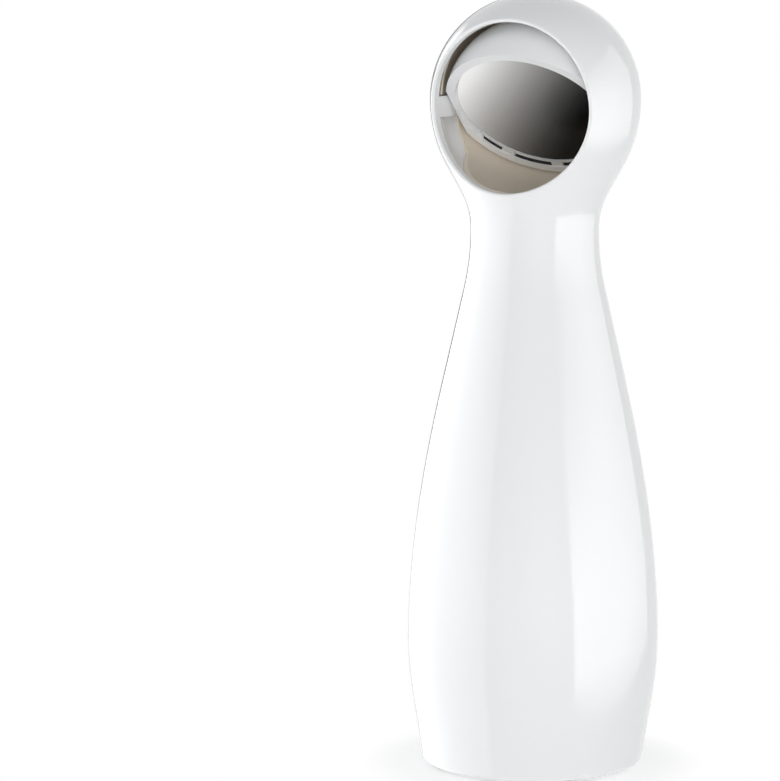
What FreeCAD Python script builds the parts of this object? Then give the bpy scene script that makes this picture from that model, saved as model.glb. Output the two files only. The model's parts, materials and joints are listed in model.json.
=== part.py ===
"""Automatic cat laser toy, modelled in millimetres.

A skittle-shaped body on a round foot holds four upright battery cells, a control board, a motor
and a gear train. The gears turn a tilted laser and a wedge lens, so the beam that rises through
the neck wanders. A mirror in the round head, tilted by hand, throws the beam out of the front.

+Z is up, the front faces -Y, and the origin is on the floor under the middle of the foot.
"""
import FreeCAD
import Part
import math
import os

V = FreeCAD.Vector
UP = V(0, 0, 1)
TINY = 0.01          # overshoot of a cutting tool past the face it cuts
REACH = 300.0        # half-size of the blocks that halve the body

# ---------------------------------------------------------------- outer form
HEIGHT = 216.0       # floor to the top of the head
HEAD_R = 29.15       # ball-shaped head
CHEEK_R = 38.3       # fuller arc from the head's equator down to the flare
FLARE_DEG = 28.9     # lean of the straight flare under the head, from vertical
NECK_R = 17.8
NECK_DROP = 6.85     # from the head's lowest point down to the narrowest ring
CONE_R = 25.7        # radius of the straight upper body where it starts
CONE_DROP = 42.85    # from the narrowest ring down to there
CONE_DEG = 12.85     # its lean from vertical
BELLY_R = 35.2
BELLY_Z = 35.3
FOOT_R = 31.2        # radius where the foot's rounding starts
FOOT_DEG = 7.6       # lean of the lowest wall, outwards
FOOT_ROUND = 1.8
FOOT_GAP = 1.0       # shell edge above the floor
WALL = 2.4
SEAM_Y = 8.0         # plane between the front and rear shells
SEAM_GAP = 0.16

# ---------------------------------------------------------------- head opening and mirror
OPENING_IN = 5.9     # the opening's radius is smaller than the head's by this
OPENING_DROP = 1.45  # opening's middle below the head's
OPENING_ROUND = 0.6
PIVOT_DROP = 2.25    # tilt axis of the mirror, along X, below the head's middle
BALL_GAP = 1.45      # between the head's wall and the ball-shaped mirror carrier
BALL_WALL = 1.7
CHEEK_IN = 1.8       # depth of the flat sides cut from the ball
FACE_DEG = 47.0      # mirror's normal below the horizontal, facing the front
FACE_N = 2.6         # carrier's rim, out along the normal from the tilt axis
MIRROR_N = 1.3       # mirror's reflecting face
MIRROR_IN = 3.3      # the mirror's radius is smaller than the ball's by this
MIRROR_T = 2.0
MIRROR_SHIFT = 0.4   # mirror's centre above the tilt axis, along the face
MIRROR_GAP = 0.35    # gap round the mirror's edge
SEAT_T = 1.6         # plate behind the mirror
SLOT_DROP = 0.85     # the recess runs down past the mirror by this and leaves a slot there
CLIP_T = 0.5         # retaining clip along the mirror's lower edge
CLIP_LAP = 0.35      # its hold on the mirror's face
CLIP_DEG = 62.0      # its reach to each side of the lowest point
CLIP_TABS = 3
CLIP_TAB_W = 3.4
CLIP_TAB_H = 1.0
CLIP_TAB_STEP = 38.0  # degrees between the tabs
BALL_HOLE_R = 12.0   # opening in the rear of the ball
PIN_R = 2.0          # the carrier's pivot pins
BLOCK_H = 5.8        # pivot blocks on the shell's inner sides
BLOCK_GAP = 0.6      # room for the friction washer
WASHER_T = 0.5
WASHER_R = 3.6
KEY_GAP = 0.9        # from the keys that close the pivot slots to the head's wall

# ---------------------------------------------------------------- bowl and window
BOWL_GAP = 0.7       # between the ball and the bowl under it
BOWL_WALL = 1.2
BOWL_RIM = 7.3       # bowl's rim above the ball's lowest point
BOWL_SEAT_T = 2.1    # bowl's floor under the window
LINER_GAP = 0.15     # between the casing and the liner that stands on the bowl
LINER_T = 0.5
LINER_Y = 3.0        # liner's front edge below the pivot blocks
LINER_DROP = 13.6    # lower end of that edge, below the tilt axis
LINER_DEG = 31.5     # fall of the bowl's rim from there to the front
HOOD_Y = -8.0        # liner's front edge above the pivot blocks
BOWL_SEAT_R = 14.4
LEDGE_R = 13.2       # inner radius of the ledge that carries the bowl
LEDGE_T = 2.0
SKIRT_H = 2.6
SKIRT_WALL = 1.5
WINDOW_R = 7.6
WINDOW_T = 1.5
WINDOW_LIP = 1.0

# ---------------------------------------------------------------- base and batteries
BASE_Z = 1.6
BASE_T = 2.4
FLANGE_T = 1.6       # battery box flange, clamped on the base cover
BASE_SCREW_R = 24.6  # circle of the base screws
BOSS_H = 9.0
BOSS_R = 3.0
PAD_PLACE = 24.0     # circle of the rubber feet
PAD_R = 4.0
PAD_SINK = 0.8
DOOR_R = 19.2
DOOR_T = 2.0
NOTCH_R = 1.2        # finger notch in the door's rim
NOTCH_L = 0.6
DOOR_SCREW_R = 1.5   # captive screw in the middle of the door
DOOR_SCREW_TOP = 12.0
DOOR_SCREW_FIT = 0.2
DOOR_HEAD_R = 3.2
DOOR_HEAD_H = 1.2
COIN_SLOT_W = 1.0
COIN_SLOT_H = 0.7
DOOR_CLIP_T = 0.3
INSERT_R = 2.4       # brass insert that takes the door's screw
INSERT_L = 6.0
CELL_R = 7.25        # AA cells
CELL_L = 50.5
NUB_R = 2.75
NUB_H = 1.2
CELL_PITCH = 16.0
CELL_GAP = 0.3
BOX_WALL = 1.3
BOX_TOP = 1.8
SPRING_H = 4.0
SPRING_WIRE = 0.4    # wire radius
PLATE_T = 0.4        # contact plates
PLATE_W = 9.0
SPRING_TURNS = 3.0
CONTACT_GAP = 0.05
TAB_W = 3.0          # solder tabs of the two end plates
TAB_OUT = 1.0        # tab above the control board
TAB_GAP = 0.2

# ---------------------------------------------------------------- control board
BOARD_Z = 62.4
BOARD_R = 25.5
BOARD_T = 1.6
BOARD_SCREW_R = 14.5
CHIPS = ((-16.0, 6.5, 9.9), (-12.5, 15.5, 4.9))          # x, y and length
CHIP_W = 3.9
CHIP_H = 1.6
LEG_PITCH = 1.27
LEG_W = 0.4
LEG_T = 0.25
LEG_L = 1.0
CAPACITORS = ((17.5, -9.0), (19.5, 0.0))
CAPACITOR_R = 2.5
CAPACITOR_H = 7.0
SOCKETS = ((16.0, 14.0), (-18.0, -9.0), (6.5, 20.5))     # for the motor, laser and switch leads
SOCKET = (6.0, 4.0, 5.0)
SOCKET_WALL = 0.8

# ---------------------------------------------------------------- motor and gears
PLATE_Z = 93.0       # underside of the lower gear plate and face of the motor
GEAR_PLATE_T = 2.0
LOWER_PLATE_R = 24.0
UPPER_PLATE_Z = 109.5
UPPER_PLATE_R = 20.6
PILLAR_R = 2.6
PILLAR_PLACE = 18.3  # distance of the pillars from the middle
MOTOR_R = 10.05      # motor can, flattened front and back
MOTOR_FLAT = 7.55
MOTOR_L = 22.5
MOTOR_CAP_L = 2.5
MOTOR_WALL = 0.8
MOTOR_NOSE_R = 3.05
MOTOR_NOSE_L = 1.6
TAIL_R = 3.0         # rear bearing of the motor
TAIL_L = 1.7
TAIL_END = 0.6
MAGNET_R = 6.8       # inner radius of the magnets
MAGNET_END = 3.0     # bare can at each end of the magnets
MAGNET_X = 4.0       # half-gap between the two magnets
ARMATURE_R = 6.3
ARMATURE_L = 12.0
ARMATURE_END = 5.0
POLE_SLOT = 1.4
POLE_ROOT = 2.2
ARM_T = 3.2          # arms beside the motor, which carry the strap
ARM_W = 7.2
STRAP_T = 1.6
SHAFT_R = 1.0        # motor shaft and countershaft
MODULE = 0.5
PRESSURE_DEG = 20.0
ADDENDUM = 0.8       # tooth height outside and inside the pitch circle, in modules
DEDENDUM = 1.25
PINION_TEETH = 10
WHEEL_TEETH = 40
DRUM_PINION_TEETH = 12
DRUM_TEETH = 38
BACKLASH = 0.11
GEAR_W = 3.0
RUNNING = 0.05       # radial clearance of shafts and journals
WHEEL_GAP = 1.4      # from the lower plate to the cluster gear's wheel
DRUM_Z = 103.0
DRUM_R = 7.0         # journal of the drum that carries the laser
SLEEVE_H = 4.0
SLEEVE_WALL = 2.0
GROOVE = 0.6
END_PLAY = 0.2       # axial play of the turning pieces
COLLAR_R = 8.4
CLIP_H = 0.8
CLIP_MOUTH = 3.0
TILT_DEG = 3.5       # lean of the laser in its drum
TILT_Z = 100.7       # where the laser's axis crosses the drum's axis
LASER_R = 3.0
LASER_WALL = 0.8
BARREL_LOW = 1.2     # rear end of the barrel past that crossing
BEZEL_R = 3.9
BEZEL_T = 1.4
BEAM_R = 1.4
DIODE_R = 1.65
DIODE_L = 3.4
DIODE_BOARD_R = 2.9
DIODE_BOARD_T = 0.8
BARREL_CLIP_T = 0.5
LASER_LENS_T = 1.4
LENS_GEAR_Z = 131.0
LENS_R = 7.2
LENS_T = 2.0
LENS_SEAT = 0.8
LENS_WEDGE_DEG = 4.0
HUB_R = 8.6          # journal of the lens gear
HUB_TOP = 1.6        # journal above the bracket
RETAINER_R = 10.0
RETAINER_T = 1.2
BRACKET_Z = 134.4
BRACKET_T = 2.6
BRACKET_R = 15.3
LEG_PLACE = 13.4
LEG_R = 2.0
KNOB_R = 2.2         # blind bearings at the ends of the countershaft
KNOB_H = 2.0
KNOB_END = 0.7

# ---------------------------------------------------------------- power button
BUTTON_Z = 80.0
BUTTON_R = 6.0
BUTTON_PROUD = 0.8
BUTTON_STOP = 25.8   # inner end of the guide, where the flange stops
FLANGE_R = 7.4
BUTTON_FLANGE_T = 1.2
BUTTON_PLAY = 0.1
STEM_R = 2.3
BUTTON_ROUND = 0.5
SWITCH_Y = 16.0      # inner face of the switch board
SWITCH_BOARD_T = 1.2
SWITCH_BOARD_X = 14.0
SWITCH_BOARD_Z = 6.0
SWITCH_BOSS_X = 11.6
SWITCH_BOSS_R = 2.1
SWITCH_SIZE = 6.0
SWITCH_H = 3.5
PLUNGER_R = 1.7
PLUNGER_OUT = 1.2    # the plunger stands out of the switch and reaches into it by this

# ---------------------------------------------------------------- fasteners
SCREW_R = 1.2        # thread radius of the case screws
SCREW_HEAD_R = 2.4
SCREW_HEAD_H = 1.6
SMALL_R = 0.8        # thread radius of the screws inside
SMALL_HEAD_R = 1.7
SMALL_HEAD_H = 1.2
SCREW_FIT = 0.05
BOARD_SCREW_L = 4.0  # screws of the two boards
GEAR_SCREW_L = 6.0   # screws of the gear plates, the bracket and the motor's strap
SCREW_TIP = 1.0      # depth of a blind hole past its screw
CASE_SCREW_L = 10.0
CASE_SEAT = 2.2      # shell left under a case screw's head, behind the seam
CASE_BOSS_R = 3.1
REAR_BOSS_R = 3.7
LOWER_CASE_SCREW = (24.0, 24.0)      # x and z of the lower pair of screws from behind
UPPER_CASE_SCREW = (9.6, -4.85)      # x, and z from the narrowest ring, of the upper pair
GEAR_SCREW = (18.2, -11.2)           # x and y of the pair that holds the lower gear plate
GEAR_BOSS_H = 10.0
CLEARANCE = 0.3      # between pieces that only pass each other

# ---------------------------------------------------------------- worked-out sizes
HEAD_Z = HEIGHT - HEAD_R
NECK_Z = HEAD_Z - HEAD_R - NECK_DROP
CONE_Z = NECK_Z - CONE_DROP
OPENING_R = HEAD_R - OPENING_IN
OPENING_Z = HEAD_Z - OPENING_DROP
PIVOT_Z = HEAD_Z - PIVOT_DROP
PIVOT = V(0, 0, PIVOT_Z)
BALL_R = HEAD_R - WALL - BALL_GAP
CHEEK_X = BALL_R - CHEEK_IN
MIRROR_R = BALL_R - MIRROR_IN
FACE = math.radians(FACE_DEG)
NORMAL = V(0, -math.cos(FACE), -math.sin(FACE))
SLOPE = V(0, -math.sin(FACE), math.cos(FACE))
CENTRES = MODULE * (PINION_TEETH + WHEEL_TEETH) / 2
BASE_TOP = BASE_Z + BASE_T
DOOR_TOP = BASE_Z + DOOR_T
CELL_TOP = DOOR_TOP + PLATE_T + SPRING_H + CELL_L
BOX_TOP_Z = CELL_TOP + PLATE_T + BOX_TOP
BOSS_Z = BASE_TOP + FLANGE_T
COVER_R = FOOT_R - WALL - CLEARANCE
CELL_BORE = CELL_R + CELL_GAP
BOARD_TOP = BOARD_Z + BOARD_T
MOTOR_LOW = PLATE_Z - MOTOR_L        # joint between the can and the end cap
CAP_LOW = MOTOR_LOW - MOTOR_CAP_L
ARM_X = MOTOR_R + CLEARANCE
LOWER_TOP = PLATE_Z + GEAR_PLATE_T
WHEEL_Z = LOWER_TOP + WHEEL_GAP
UPPER_TOP = UPPER_PLATE_Z + GEAR_PLATE_T
CLIP_Z = UPPER_TOP + SLEEVE_H + END_PLAY
DRUM_TOP = CLIP_Z + 2 * CLIP_H + CLEARANCE
BRACKET_TOP = BRACKET_Z + BRACKET_T
TILT = math.radians(TILT_DEG)
LEAN = V(math.sin(TILT), 0, math.cos(TILT))
LASER_FOOT = V(0, 0, TILT_Z)
BARREL_HIGH = DRUM_TOP - TILT_Z + BEZEL_R * math.tan(TILT) + RUNNING
SWITCH_TOP = SWITCH_Y + SWITCH_BOARD_T + SWITCH_H
FLANGE_Y = BUTTON_STOP - BUTTON_PLAY - BUTTON_FLANGE_T
BOWL_R = BALL_R + BOWL_GAP
BOWL_RIM_Z = PIVOT_Z - BALL_R + BOWL_RIM
WINDOW_Z = PIVOT_Z - math.sqrt(BOWL_R ** 2 - WINDOW_R ** 2) - WINDOW_T
BOWL_SEAT_Z = WINDOW_Z - BOWL_SEAT_T


# ---------------------------------------------------------------- small helpers
def rod(radius, low, high, x=0.0, y=0.0):
    """Upright cylinder."""
    return Part.makeCylinder(radius, high - low, V(x, y, low))


def rod_y(radius, near, far, x, z):
    """Cylinder along Y."""
    return Part.makeCylinder(radius, far - near, V(x, near, z), V(0, 1, 0))


def rod_along(radius, start, direction, low, high):
    """Cylinder along any direction, from low to high past the start point."""
    return Part.makeCylinder(radius, high - low, start + direction * low, direction)


def ring(outer, inner, low, high, x=0.0, y=0.0):
    return rod(outer, low, high, x, y).cut(rod(inner, low - TINY, high + TINY, x, y))


def block(x0, x1, y0, y1, z0, z1):
    return Part.makeBox(x1 - x0, y1 - y0, z1 - z0, V(x0, y0, z0))


def fuse(first, *others):
    return first.multiFuse(list(others)).removeSplitter()


def polar(radius, degrees):
    angle = math.radians(degrees)
    return radius * math.cos(angle), radius * math.sin(angle)


def spin(edges):
    """Solid of revolution about Z from edges in the XZ plane."""
    return Part.Face(Part.Wire(edges)).revolve(V(0, 0, 0), UP, 360)


def line(a, b):
    return Part.LineSegment(a, b).toShape()


def arc(centre, radius, start, end):
    """Arc in the XZ plane between two angles in radians, measured from +X towards +Z."""
    middle = (start + end) / 2
    points = [centre + V(math.cos(t), 0, math.sin(t)) * radius for t in (start, middle, end)]
    return Part.Arc(*points).toShape()


def curve(a, slope_a, b, slope_b):
    """Smooth curve between two profile points, whose slopes are changes of radius with height."""
    third = (b.z - a.z) / 3
    handle = Part.BezierCurve()
    handle.setPoles([a, a + V(slope_a, 0, 1) * third, b - V(slope_b, 0, 1) * third, b])
    return handle.toShape()


# ---------------------------------------------------------------- body profile
def body(inset):
    """The skittle shape as a solid, taken in by an inset. The inset shape runs down to the
    floor, so that it cuts through the foot's edge."""
    floor = 0.0 if inset > 0 else FOOT_GAP
    foot, cone, flare = (math.radians(a) for a in (FOOT_DEG, CONE_DEG, FLARE_DEG))
    half = math.tan(cone / 2)
    cone_slope = math.tan(cone)
    join_z = (CONE_R + cone_slope * CONE_Z - NECK_R - NECK_Z * half) / (cone_slope - half)
    lower_r = (NECK_Z - join_z) / math.sin(cone)
    cheek_r = HEAD_R - CHEEK_R + CHEEK_R * math.cos(flare)
    cheek_z = HEAD_Z - CHEEK_R * math.sin(flare)
    rise = math.tan(flare) * (cheek_z - NECK_Z) - (cheek_r - NECK_R)
    upper_r = rise * math.cos(flare) / (1 - math.cos(flare))

    foot_z = FOOT_GAP + FOOT_ROUND
    a = V(FOOT_R - inset * math.cos(foot), 0, foot_z + inset * math.sin(foot))
    b = V(BELLY_R - inset, 0, BELLY_Z)
    c = V(CONE_R - inset * math.cos(cone), 0, CONE_Z - inset * math.sin(cone))
    lower = V(NECK_R + lower_r, 0, NECK_Z)
    upper = V(NECK_R + upper_r, 0, NECK_Z)
    cheek = V(HEAD_R - CHEEK_R, 0, HEAD_Z)
    head = V(0, 0, HEAD_Z)
    parts = [
        curve(a, math.tan(foot), b, 0),
        curve(b, 0, c, -cone_slope),
        arc(lower, lower_r + inset, math.pi + cone, math.pi),
        arc(upper, upper_r + inset, math.pi, math.pi - flare),
        arc(cheek, CHEEK_R - inset, -flare, 0),
        arc(head, HEAD_R - inset, 0, math.pi / 2),
    ]
    parts.insert(2, line(parts[1].lastVertex().Point, parts[2].firstVertex().Point))
    parts.insert(5, line(parts[4].lastVertex().Point, parts[5].firstVertex().Point))
    top = V(0, 0, HEIGHT - inset)
    if inset > 0:
        start = V(a.x - (a.z - floor) * math.tan(foot), 0, floor)
        parts.insert(0, line(start, a))
    else:
        start = V(a.x - FOOT_ROUND, 0, floor)
        middle = V(start.x + FOOT_ROUND * math.sin(math.pi / 4), 0,
                   a.z - FOOT_ROUND * math.cos(math.pi / 4))
        parts.insert(0, Part.Arc(start, middle, a).toShape())
    parts += [line(top, V(0, 0, floor)), line(V(0, 0, floor), start)]
    return spin(parts)


OUTSIDE = body(0.0)
INSIDE = body(WALL)


def front_half():
    return block(-REACH, REACH, -REACH, SEAM_Y - SEAM_GAP / 2, -REACH, REACH)


def rear_half():
    return block(-REACH, REACH, SEAM_Y + SEAM_GAP / 2, REACH, -REACH, REACH)


# ---------------------------------------------------------------- fasteners
def screw(radius, head_r, head_h, length, x, y, z, direction):
    """Pan-head screw with a cross recess. The point is under the head, which it leaves along
    the direction."""
    tool = Part.makeCylinder(radius, length, V(0, 0, 0), UP)
    head = Part.makeCylinder(head_r, head_h, V(0, 0, -head_h), UP)
    edges = [e for e in head.Edges if e.BoundBox.ZMax < -head_h + TINY]
    head = head.makeFillet(head_h * 0.35, edges)
    slot = 0.55 * head_r
    width = 0.14 * head_r
    cross = block(-slot, slot, -width, width, -head_h - TINY, -0.5 * head_h)
    turned = cross.copy()
    turned.rotate(V(0, 0, 0), UP, 90)
    shape = fuse(tool, head).cut(cross).cut(turned)
    turn = FreeCAD.Rotation(UP, direction)
    shape.Placement = FreeCAD.Placement(V(x, y, z), turn)
    return shape


def case_screw(length, x, y, z, direction):
    return screw(SCREW_R, SCREW_HEAD_R, SCREW_HEAD_H, length, x, y, z, direction)


def small_screw(length, x, y, z, direction):
    return screw(SMALL_R, SMALL_HEAD_R, SMALL_HEAD_H, length, x, y, z, direction)


def base_places():
    """Four screws a quarter turn apart."""
    return [polar(BASE_SCREW_R, 90 * i) for i in range(4)]


def pad_places():
    """Four feet between the screws."""
    return [polar(PAD_PLACE, 45 + 90 * i) for i in range(4)]


def case_screw_places():
    upper = (UPPER_CASE_SCREW[0], NECK_Z + UPPER_CASE_SCREW[1])
    return [(side * x, z) for x, z in (LOWER_CASE_SCREW, upper) for side in (-1, 1)]


def case_screws():
    y = SEAM_Y + SEAM_GAP / 2 + CASE_SEAT
    return [case_screw(CASE_SCREW_L, x, y, z, V(0, -1, 0)) for x, z in case_screw_places()]


# ---------------------------------------------------------------- shells
def base_boss(x, y):
    """Screw boss on the inner side of the foot, with its web to the wall."""
    boss = rod(BOSS_R, BOSS_Z, BOSS_Z + BOSS_H, x, y)
    web = block(0, BELLY_R, -WALL / 2, WALL / 2, BOSS_Z, BOSS_Z + BOSS_H)
    web = web.cut(rod(BASE_SCREW_R, BOSS_Z - TINY, BOSS_Z + BOSS_H + TINY))
    web.rotate(V(0, 0, 0), UP, math.degrees(math.atan2(y, x)))
    return fuse(boss, web)


def gear_boss(side):
    """Screw boss that carries the lower gear plate, with its web to the wall."""
    x, y = side * GEAR_SCREW[0], GEAR_SCREW[1]
    low = PLATE_Z - GEAR_BOSS_H
    distance = math.hypot(x, y)
    boss = rod(PILLAR_R, low, PLATE_Z, x, y)
    web = block(distance, BELLY_R, -WALL / 2, WALL / 2, low, PLATE_Z)
    web.rotate(V(0, 0, 0), UP, math.degrees(math.atan2(y, x)))
    return fuse(boss, web)


def ledge():
    """Ring inside the neck that carries the bowl."""
    return ring(NECK_R + WALL, LEDGE_R, BOWL_SEAT_Z - LEDGE_T, BOWL_SEAT_Z)


def pivot_block(side):
    """Block inside the head that the carrier's pin turns in. Its slot is open to the rear."""
    inner = CHEEK_X + BLOCK_GAP
    half = BLOCK_H / 2
    front = -math.sqrt((HEAD_R - WALL) ** 2 - inner ** 2)
    solid = block(inner, HEAD_R, front, SEAM_Y, PIVOT_Z - half, PIVOT_Z + half)
    if side < 0:
        solid = solid.mirror(V(0, 0, 0), V(1, 0, 0))
    return solid


def pivot_slot(side, radius):
    """Slot for a pin: round at the tilt axis, then straight to the rear."""
    inner = CHEEK_X
    outer = HEAD_R - WALL
    hole = Part.makeCylinder(radius, outer - inner, V(inner, 0, PIVOT_Z), V(1, 0, 0))
    run = block(inner, outer, 0, SEAM_Y, PIVOT_Z - radius, PIVOT_Z + radius)
    solid = fuse(hole, run)
    if side < 0:
        solid = solid.mirror(V(0, 0, 0), V(1, 0, 0))
    return solid


def opening_cut():
    """Tool for the round opening in the front of the head."""
    return rod_y(OPENING_R, -REACH, 0, 0, OPENING_Z)


def case_boss(x, z):
    """Boss from the front wall back to the seam, for a screw from behind."""
    return rod_y(CASE_BOSS_R, -BELLY_R, SEAM_Y, x, z)


def on_opening(edge):
    """True for an edge of the opening that lies on the outer surface."""
    skin = OUTSIDE.Shells[0]
    first, last = edge.ParameterRange
    for share in (0.1, 0.5, 0.9):
        p = edge.valueAt(first + (last - first) * share)
        off = abs(math.hypot(p.x, p.z - OPENING_Z) - OPENING_R)
        if p.y > 0 or off > TINY or skin.distToShape(Part.Vertex(p))[0] > TINY:
            return False
    return True


def round_opening(shape):
    """Round the outer edge of the head opening."""
    return shape.makeFillet(OPENING_ROUND, [e for e in shape.Edges if on_opening(e)])


def front_shell():
    shell = OUTSIDE.cut(INSIDE).common(front_half())
    bosses = [base_boss(x, y) for x, y in base_places() if y < SEAM_Y]
    bosses += [gear_boss(side) for side in (-1, 1)]
    bosses += [case_boss(x, z) for x, z in case_screw_places()]
    bosses += [ledge()]
    bosses += [pivot_block(side) for side in (-1, 1)]
    bosses = [b.common(OUTSIDE).common(front_half()) for b in bosses]
    shell = fuse(shell, *bosses)
    shell = shell.cut(opening_cut())
    for side in (-1, 1):
        shell = shell.cut(pivot_slot(side, PIN_R + RUNNING))
    hole = SCREW_R + SCREW_FIT
    for x, y in base_places():
        shell = shell.cut(rod(hole, BOSS_Z - TINY, BOSS_Z + BOSS_H - SCREW_TIP, x, y))
    for x, z in case_screw_places():
        shell = shell.cut(rod_y(hole, SEAM_Y - CASE_SCREW_L, SEAM_Y, x, z))
    for side in (-1, 1):
        x, y = side * GEAR_SCREW[0], GEAR_SCREW[1]
        shell = shell.cut(rod(SMALL_R + SCREW_FIT, PLATE_Z - GEAR_BOSS_H + SCREW_TIP, PLATE_Z + TINY, x, y))
    return round_opening(shell)


def button_guide():
    """Tube inside the rear wall that guides the button and stops its flange."""
    low = BUTTON_STOP
    return rod_y(BUTTON_R + CLEARANCE + WALL, low, BELLY_R, 0, BUTTON_Z)


def switch_boss(side):
    return rod_y(SWITCH_BOSS_R, SWITCH_Y + SWITCH_BOARD_T, BELLY_R, side * SWITCH_BOSS_X, BUTTON_Z)


def rear_shell():
    shell = OUTSIDE.cut(INSIDE).common(rear_half())
    bosses = [base_boss(x, y) for x, y in base_places() if y > SEAM_Y]
    bosses += [rod_y(REAR_BOSS_R, SEAM_Y, BELLY_R, x, z) for x, z in case_screw_places()]
    bosses += [ledge(), button_guide()]
    bosses += [switch_boss(side) for side in (-1, 1)]
    bosses = [b.common(OUTSIDE).common(rear_half()) for b in bosses]
    shell = fuse(shell, *bosses)
    hole = SCREW_R + SCREW_FIT
    for x, y in base_places():
        shell = shell.cut(rod(hole, BOSS_Z - TINY, BOSS_Z + BOSS_H - SCREW_TIP, x, y))
    seat = SEAM_Y + SEAM_GAP / 2 + CASE_SEAT
    for x, z in case_screw_places():
        shell = shell.cut(rod_y(hole, SEAM_Y, seat + TINY, x, z))
        shell = shell.cut(rod_y(SCREW_HEAD_R + CLEARANCE, seat, REACH, x, z))
    shell = shell.cut(rod_y(BUTTON_R + CLEARANCE, 0, REACH, 0, BUTTON_Z))
    for side in (-1, 1):
        y0 = SWITCH_Y + SWITCH_BOARD_T
        hole = rod_y(SMALL_R + SCREW_FIT, y0 - TINY, y0 + BOARD_SCREW_L, side * SWITCH_BOSS_X, BUTTON_Z)
        shell = shell.cut(hole)
    return shell


# ---------------------------------------------------------------- base
def base_cover():
    disc = rod(COVER_R, BASE_Z, BASE_TOP)
    disc = disc.cut(rod(DOOR_R + CLEARANCE, BASE_Z - TINY, BASE_TOP + TINY))
    for x, y in base_places():
        disc = disc.cut(rod(SCREW_R + SCREW_FIT, BASE_Z - TINY, BASE_TOP + TINY, x, y))
        disc = disc.cut(rod(SCREW_HEAD_R + CLEARANCE, BASE_Z - TINY, BASE_Z + SCREW_HEAD_H, x, y))
    for x, y in pad_places():
        disc = disc.cut(rod(PAD_R, BASE_Z - TINY, BASE_Z + PAD_SINK, x, y))
    return disc


def base_screws():
    length = BASE_TOP - BASE_Z - SCREW_HEAD_H + FLANGE_T + BOSS_H - 2 * SCREW_TIP
    return [case_screw(length, x, y, BASE_Z + SCREW_HEAD_H, UP) for x, y in base_places()]


def rubber_feet():
    feet = []
    for x, y in pad_places():
        pad = rod(PAD_R, 0, BASE_Z + PAD_SINK, x, y)
        rim = [e for e in pad.Edges if e.BoundBox.ZMax < TINY]
        feet.append(pad.makeFillet(BASE_Z / 4, rim))
    return feet


# ---------------------------------------------------------------- battery box
def cell_places():
    half = CELL_PITCH / 2
    return [(-half, -half), (half, -half), (half, half), (-half, half)]


def rounded_square(half, radius, low, high):
    solid = block(-half, half, -half, half, low, high)
    uprights = [e for e in solid.Edges if e.BoundBox.ZLength > (high - low) / 2]
    return solid.makeFillet(radius, uprights)


def top_tab(x, y, grow=0.0):
    """Solder tab from a top contact plate up through the box and the control board."""
    half = TAB_W / 2 + grow
    thick = PLATE_T / 2 + grow
    top = BOARD_TOP + TAB_OUT
    return block(x - half, x + half, y - thick, y + thick, CELL_TOP, top)


def tab_places():
    """The first and last cell's plates have the two tabs."""
    places = cell_places()
    return [(places[0][0], places[0][1]), (places[3][0], places[3][1])]


def board_post_places():
    return [polar(BOARD_SCREW_R, angle) for angle in (90, 210, 330)]


def battery_box():
    """Tray with a bore for each cell, a flange below and posts for the control board above."""
    corner = CELL_BORE + BOX_WALL
    box = rounded_square(CELL_PITCH / 2 + corner, corner - TINY, BASE_TOP, BOX_TOP_Z)
    flange = rod(COVER_R, BASE_TOP, BOSS_Z)
    posts = [rod(PILLAR_R, BOX_TOP_Z - BOX_TOP, BOARD_Z, x, y) for x, y in board_post_places()]
    box = fuse(box, flange, *posts)
    for x, y in cell_places():
        box = box.cut(rod(CELL_BORE, BASE_TOP - TINY, CELL_TOP + PLATE_T, x, y))
    for x, y in base_places():
        box = box.cut(rod(SCREW_R + SCREW_FIT, BASE_TOP - TINY, BOSS_Z + TINY, x, y))
    for x, y in board_post_places():
        box = box.cut(rod(SMALL_R + SCREW_FIT, BOARD_TOP - BOARD_SCREW_L, BOARD_Z + TINY, x, y))
    for x, y in tab_places():
        box = box.cut(top_tab(x, y, TAB_GAP))
    low = DOOR_SCREW_TOP - INSERT_L
    box = box.cut(rod(DOOR_SCREW_R + DOOR_SCREW_FIT, BASE_TOP - TINY, low + TINY))
    box = box.cut(rod(INSERT_R, low, DOOR_SCREW_TOP + SCREW_TIP))
    return box.cut(top_link())


def top_link():
    """Plate across the tops of the second and third cell."""
    half, wide = CELL_PITCH / 2, PLATE_W / 2
    reach = half + wide
    return block(half - wide, half + wide, -reach, reach, CELL_TOP, CELL_TOP + PLATE_T)


def cell(x, y, flip):
    """One battery cell, standing on its flat end or on its nub."""
    low = DOOR_TOP + PLATE_T + (0 if flip else SPRING_H)
    tube = rod(CELL_R, 0, CELL_L - NUB_H)
    rims = [e for e in tube.Edges if e.Length > CELL_R and e.BoundBox.ZLength < TINY]
    tube = tube.makeFillet(0.5, rims)
    shape = fuse(tube, rod(NUB_R, CELL_L - NUB_H - TINY, CELL_L))
    if flip:
        shape = shape.mirror(V(0, 0, CELL_L / 2), UP)
    shape.translate(V(x, y, low))
    return shape


def cells():
    return [cell(x, y, i % 2 == 1) for i, (x, y) in enumerate(cell_places())]


def contact_spring(x, y, low):
    """Coil spring that presses on the flat end of a cell. Its wire has six flats."""
    height = SPRING_H - 2 * (SPRING_WIRE + CONTACT_GAP)
    radius = CELL_R / 2
    coil = Part.makeHelix(height / SPRING_TURNS, height, radius)
    corners = [polar(SPRING_WIRE, 60 * i) for i in range(7)]
    start = Part.makePolygon([V(radius + a, 0, b) for a, b in corners])
    pipe = Part.Wire(coil).makePipeShell([start], True, True)
    pipe.translate(V(x, y, low + SPRING_WIRE + CONTACT_GAP))
    return pipe


def door_springs():
    places = cell_places()
    return [contact_spring(*places[i], DOOR_TOP + PLATE_T) for i in (0, 2)]


def top_springs():
    places = cell_places()
    return [contact_spring(*places[i], CELL_TOP - SPRING_H) for i in (1, 3)]


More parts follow.
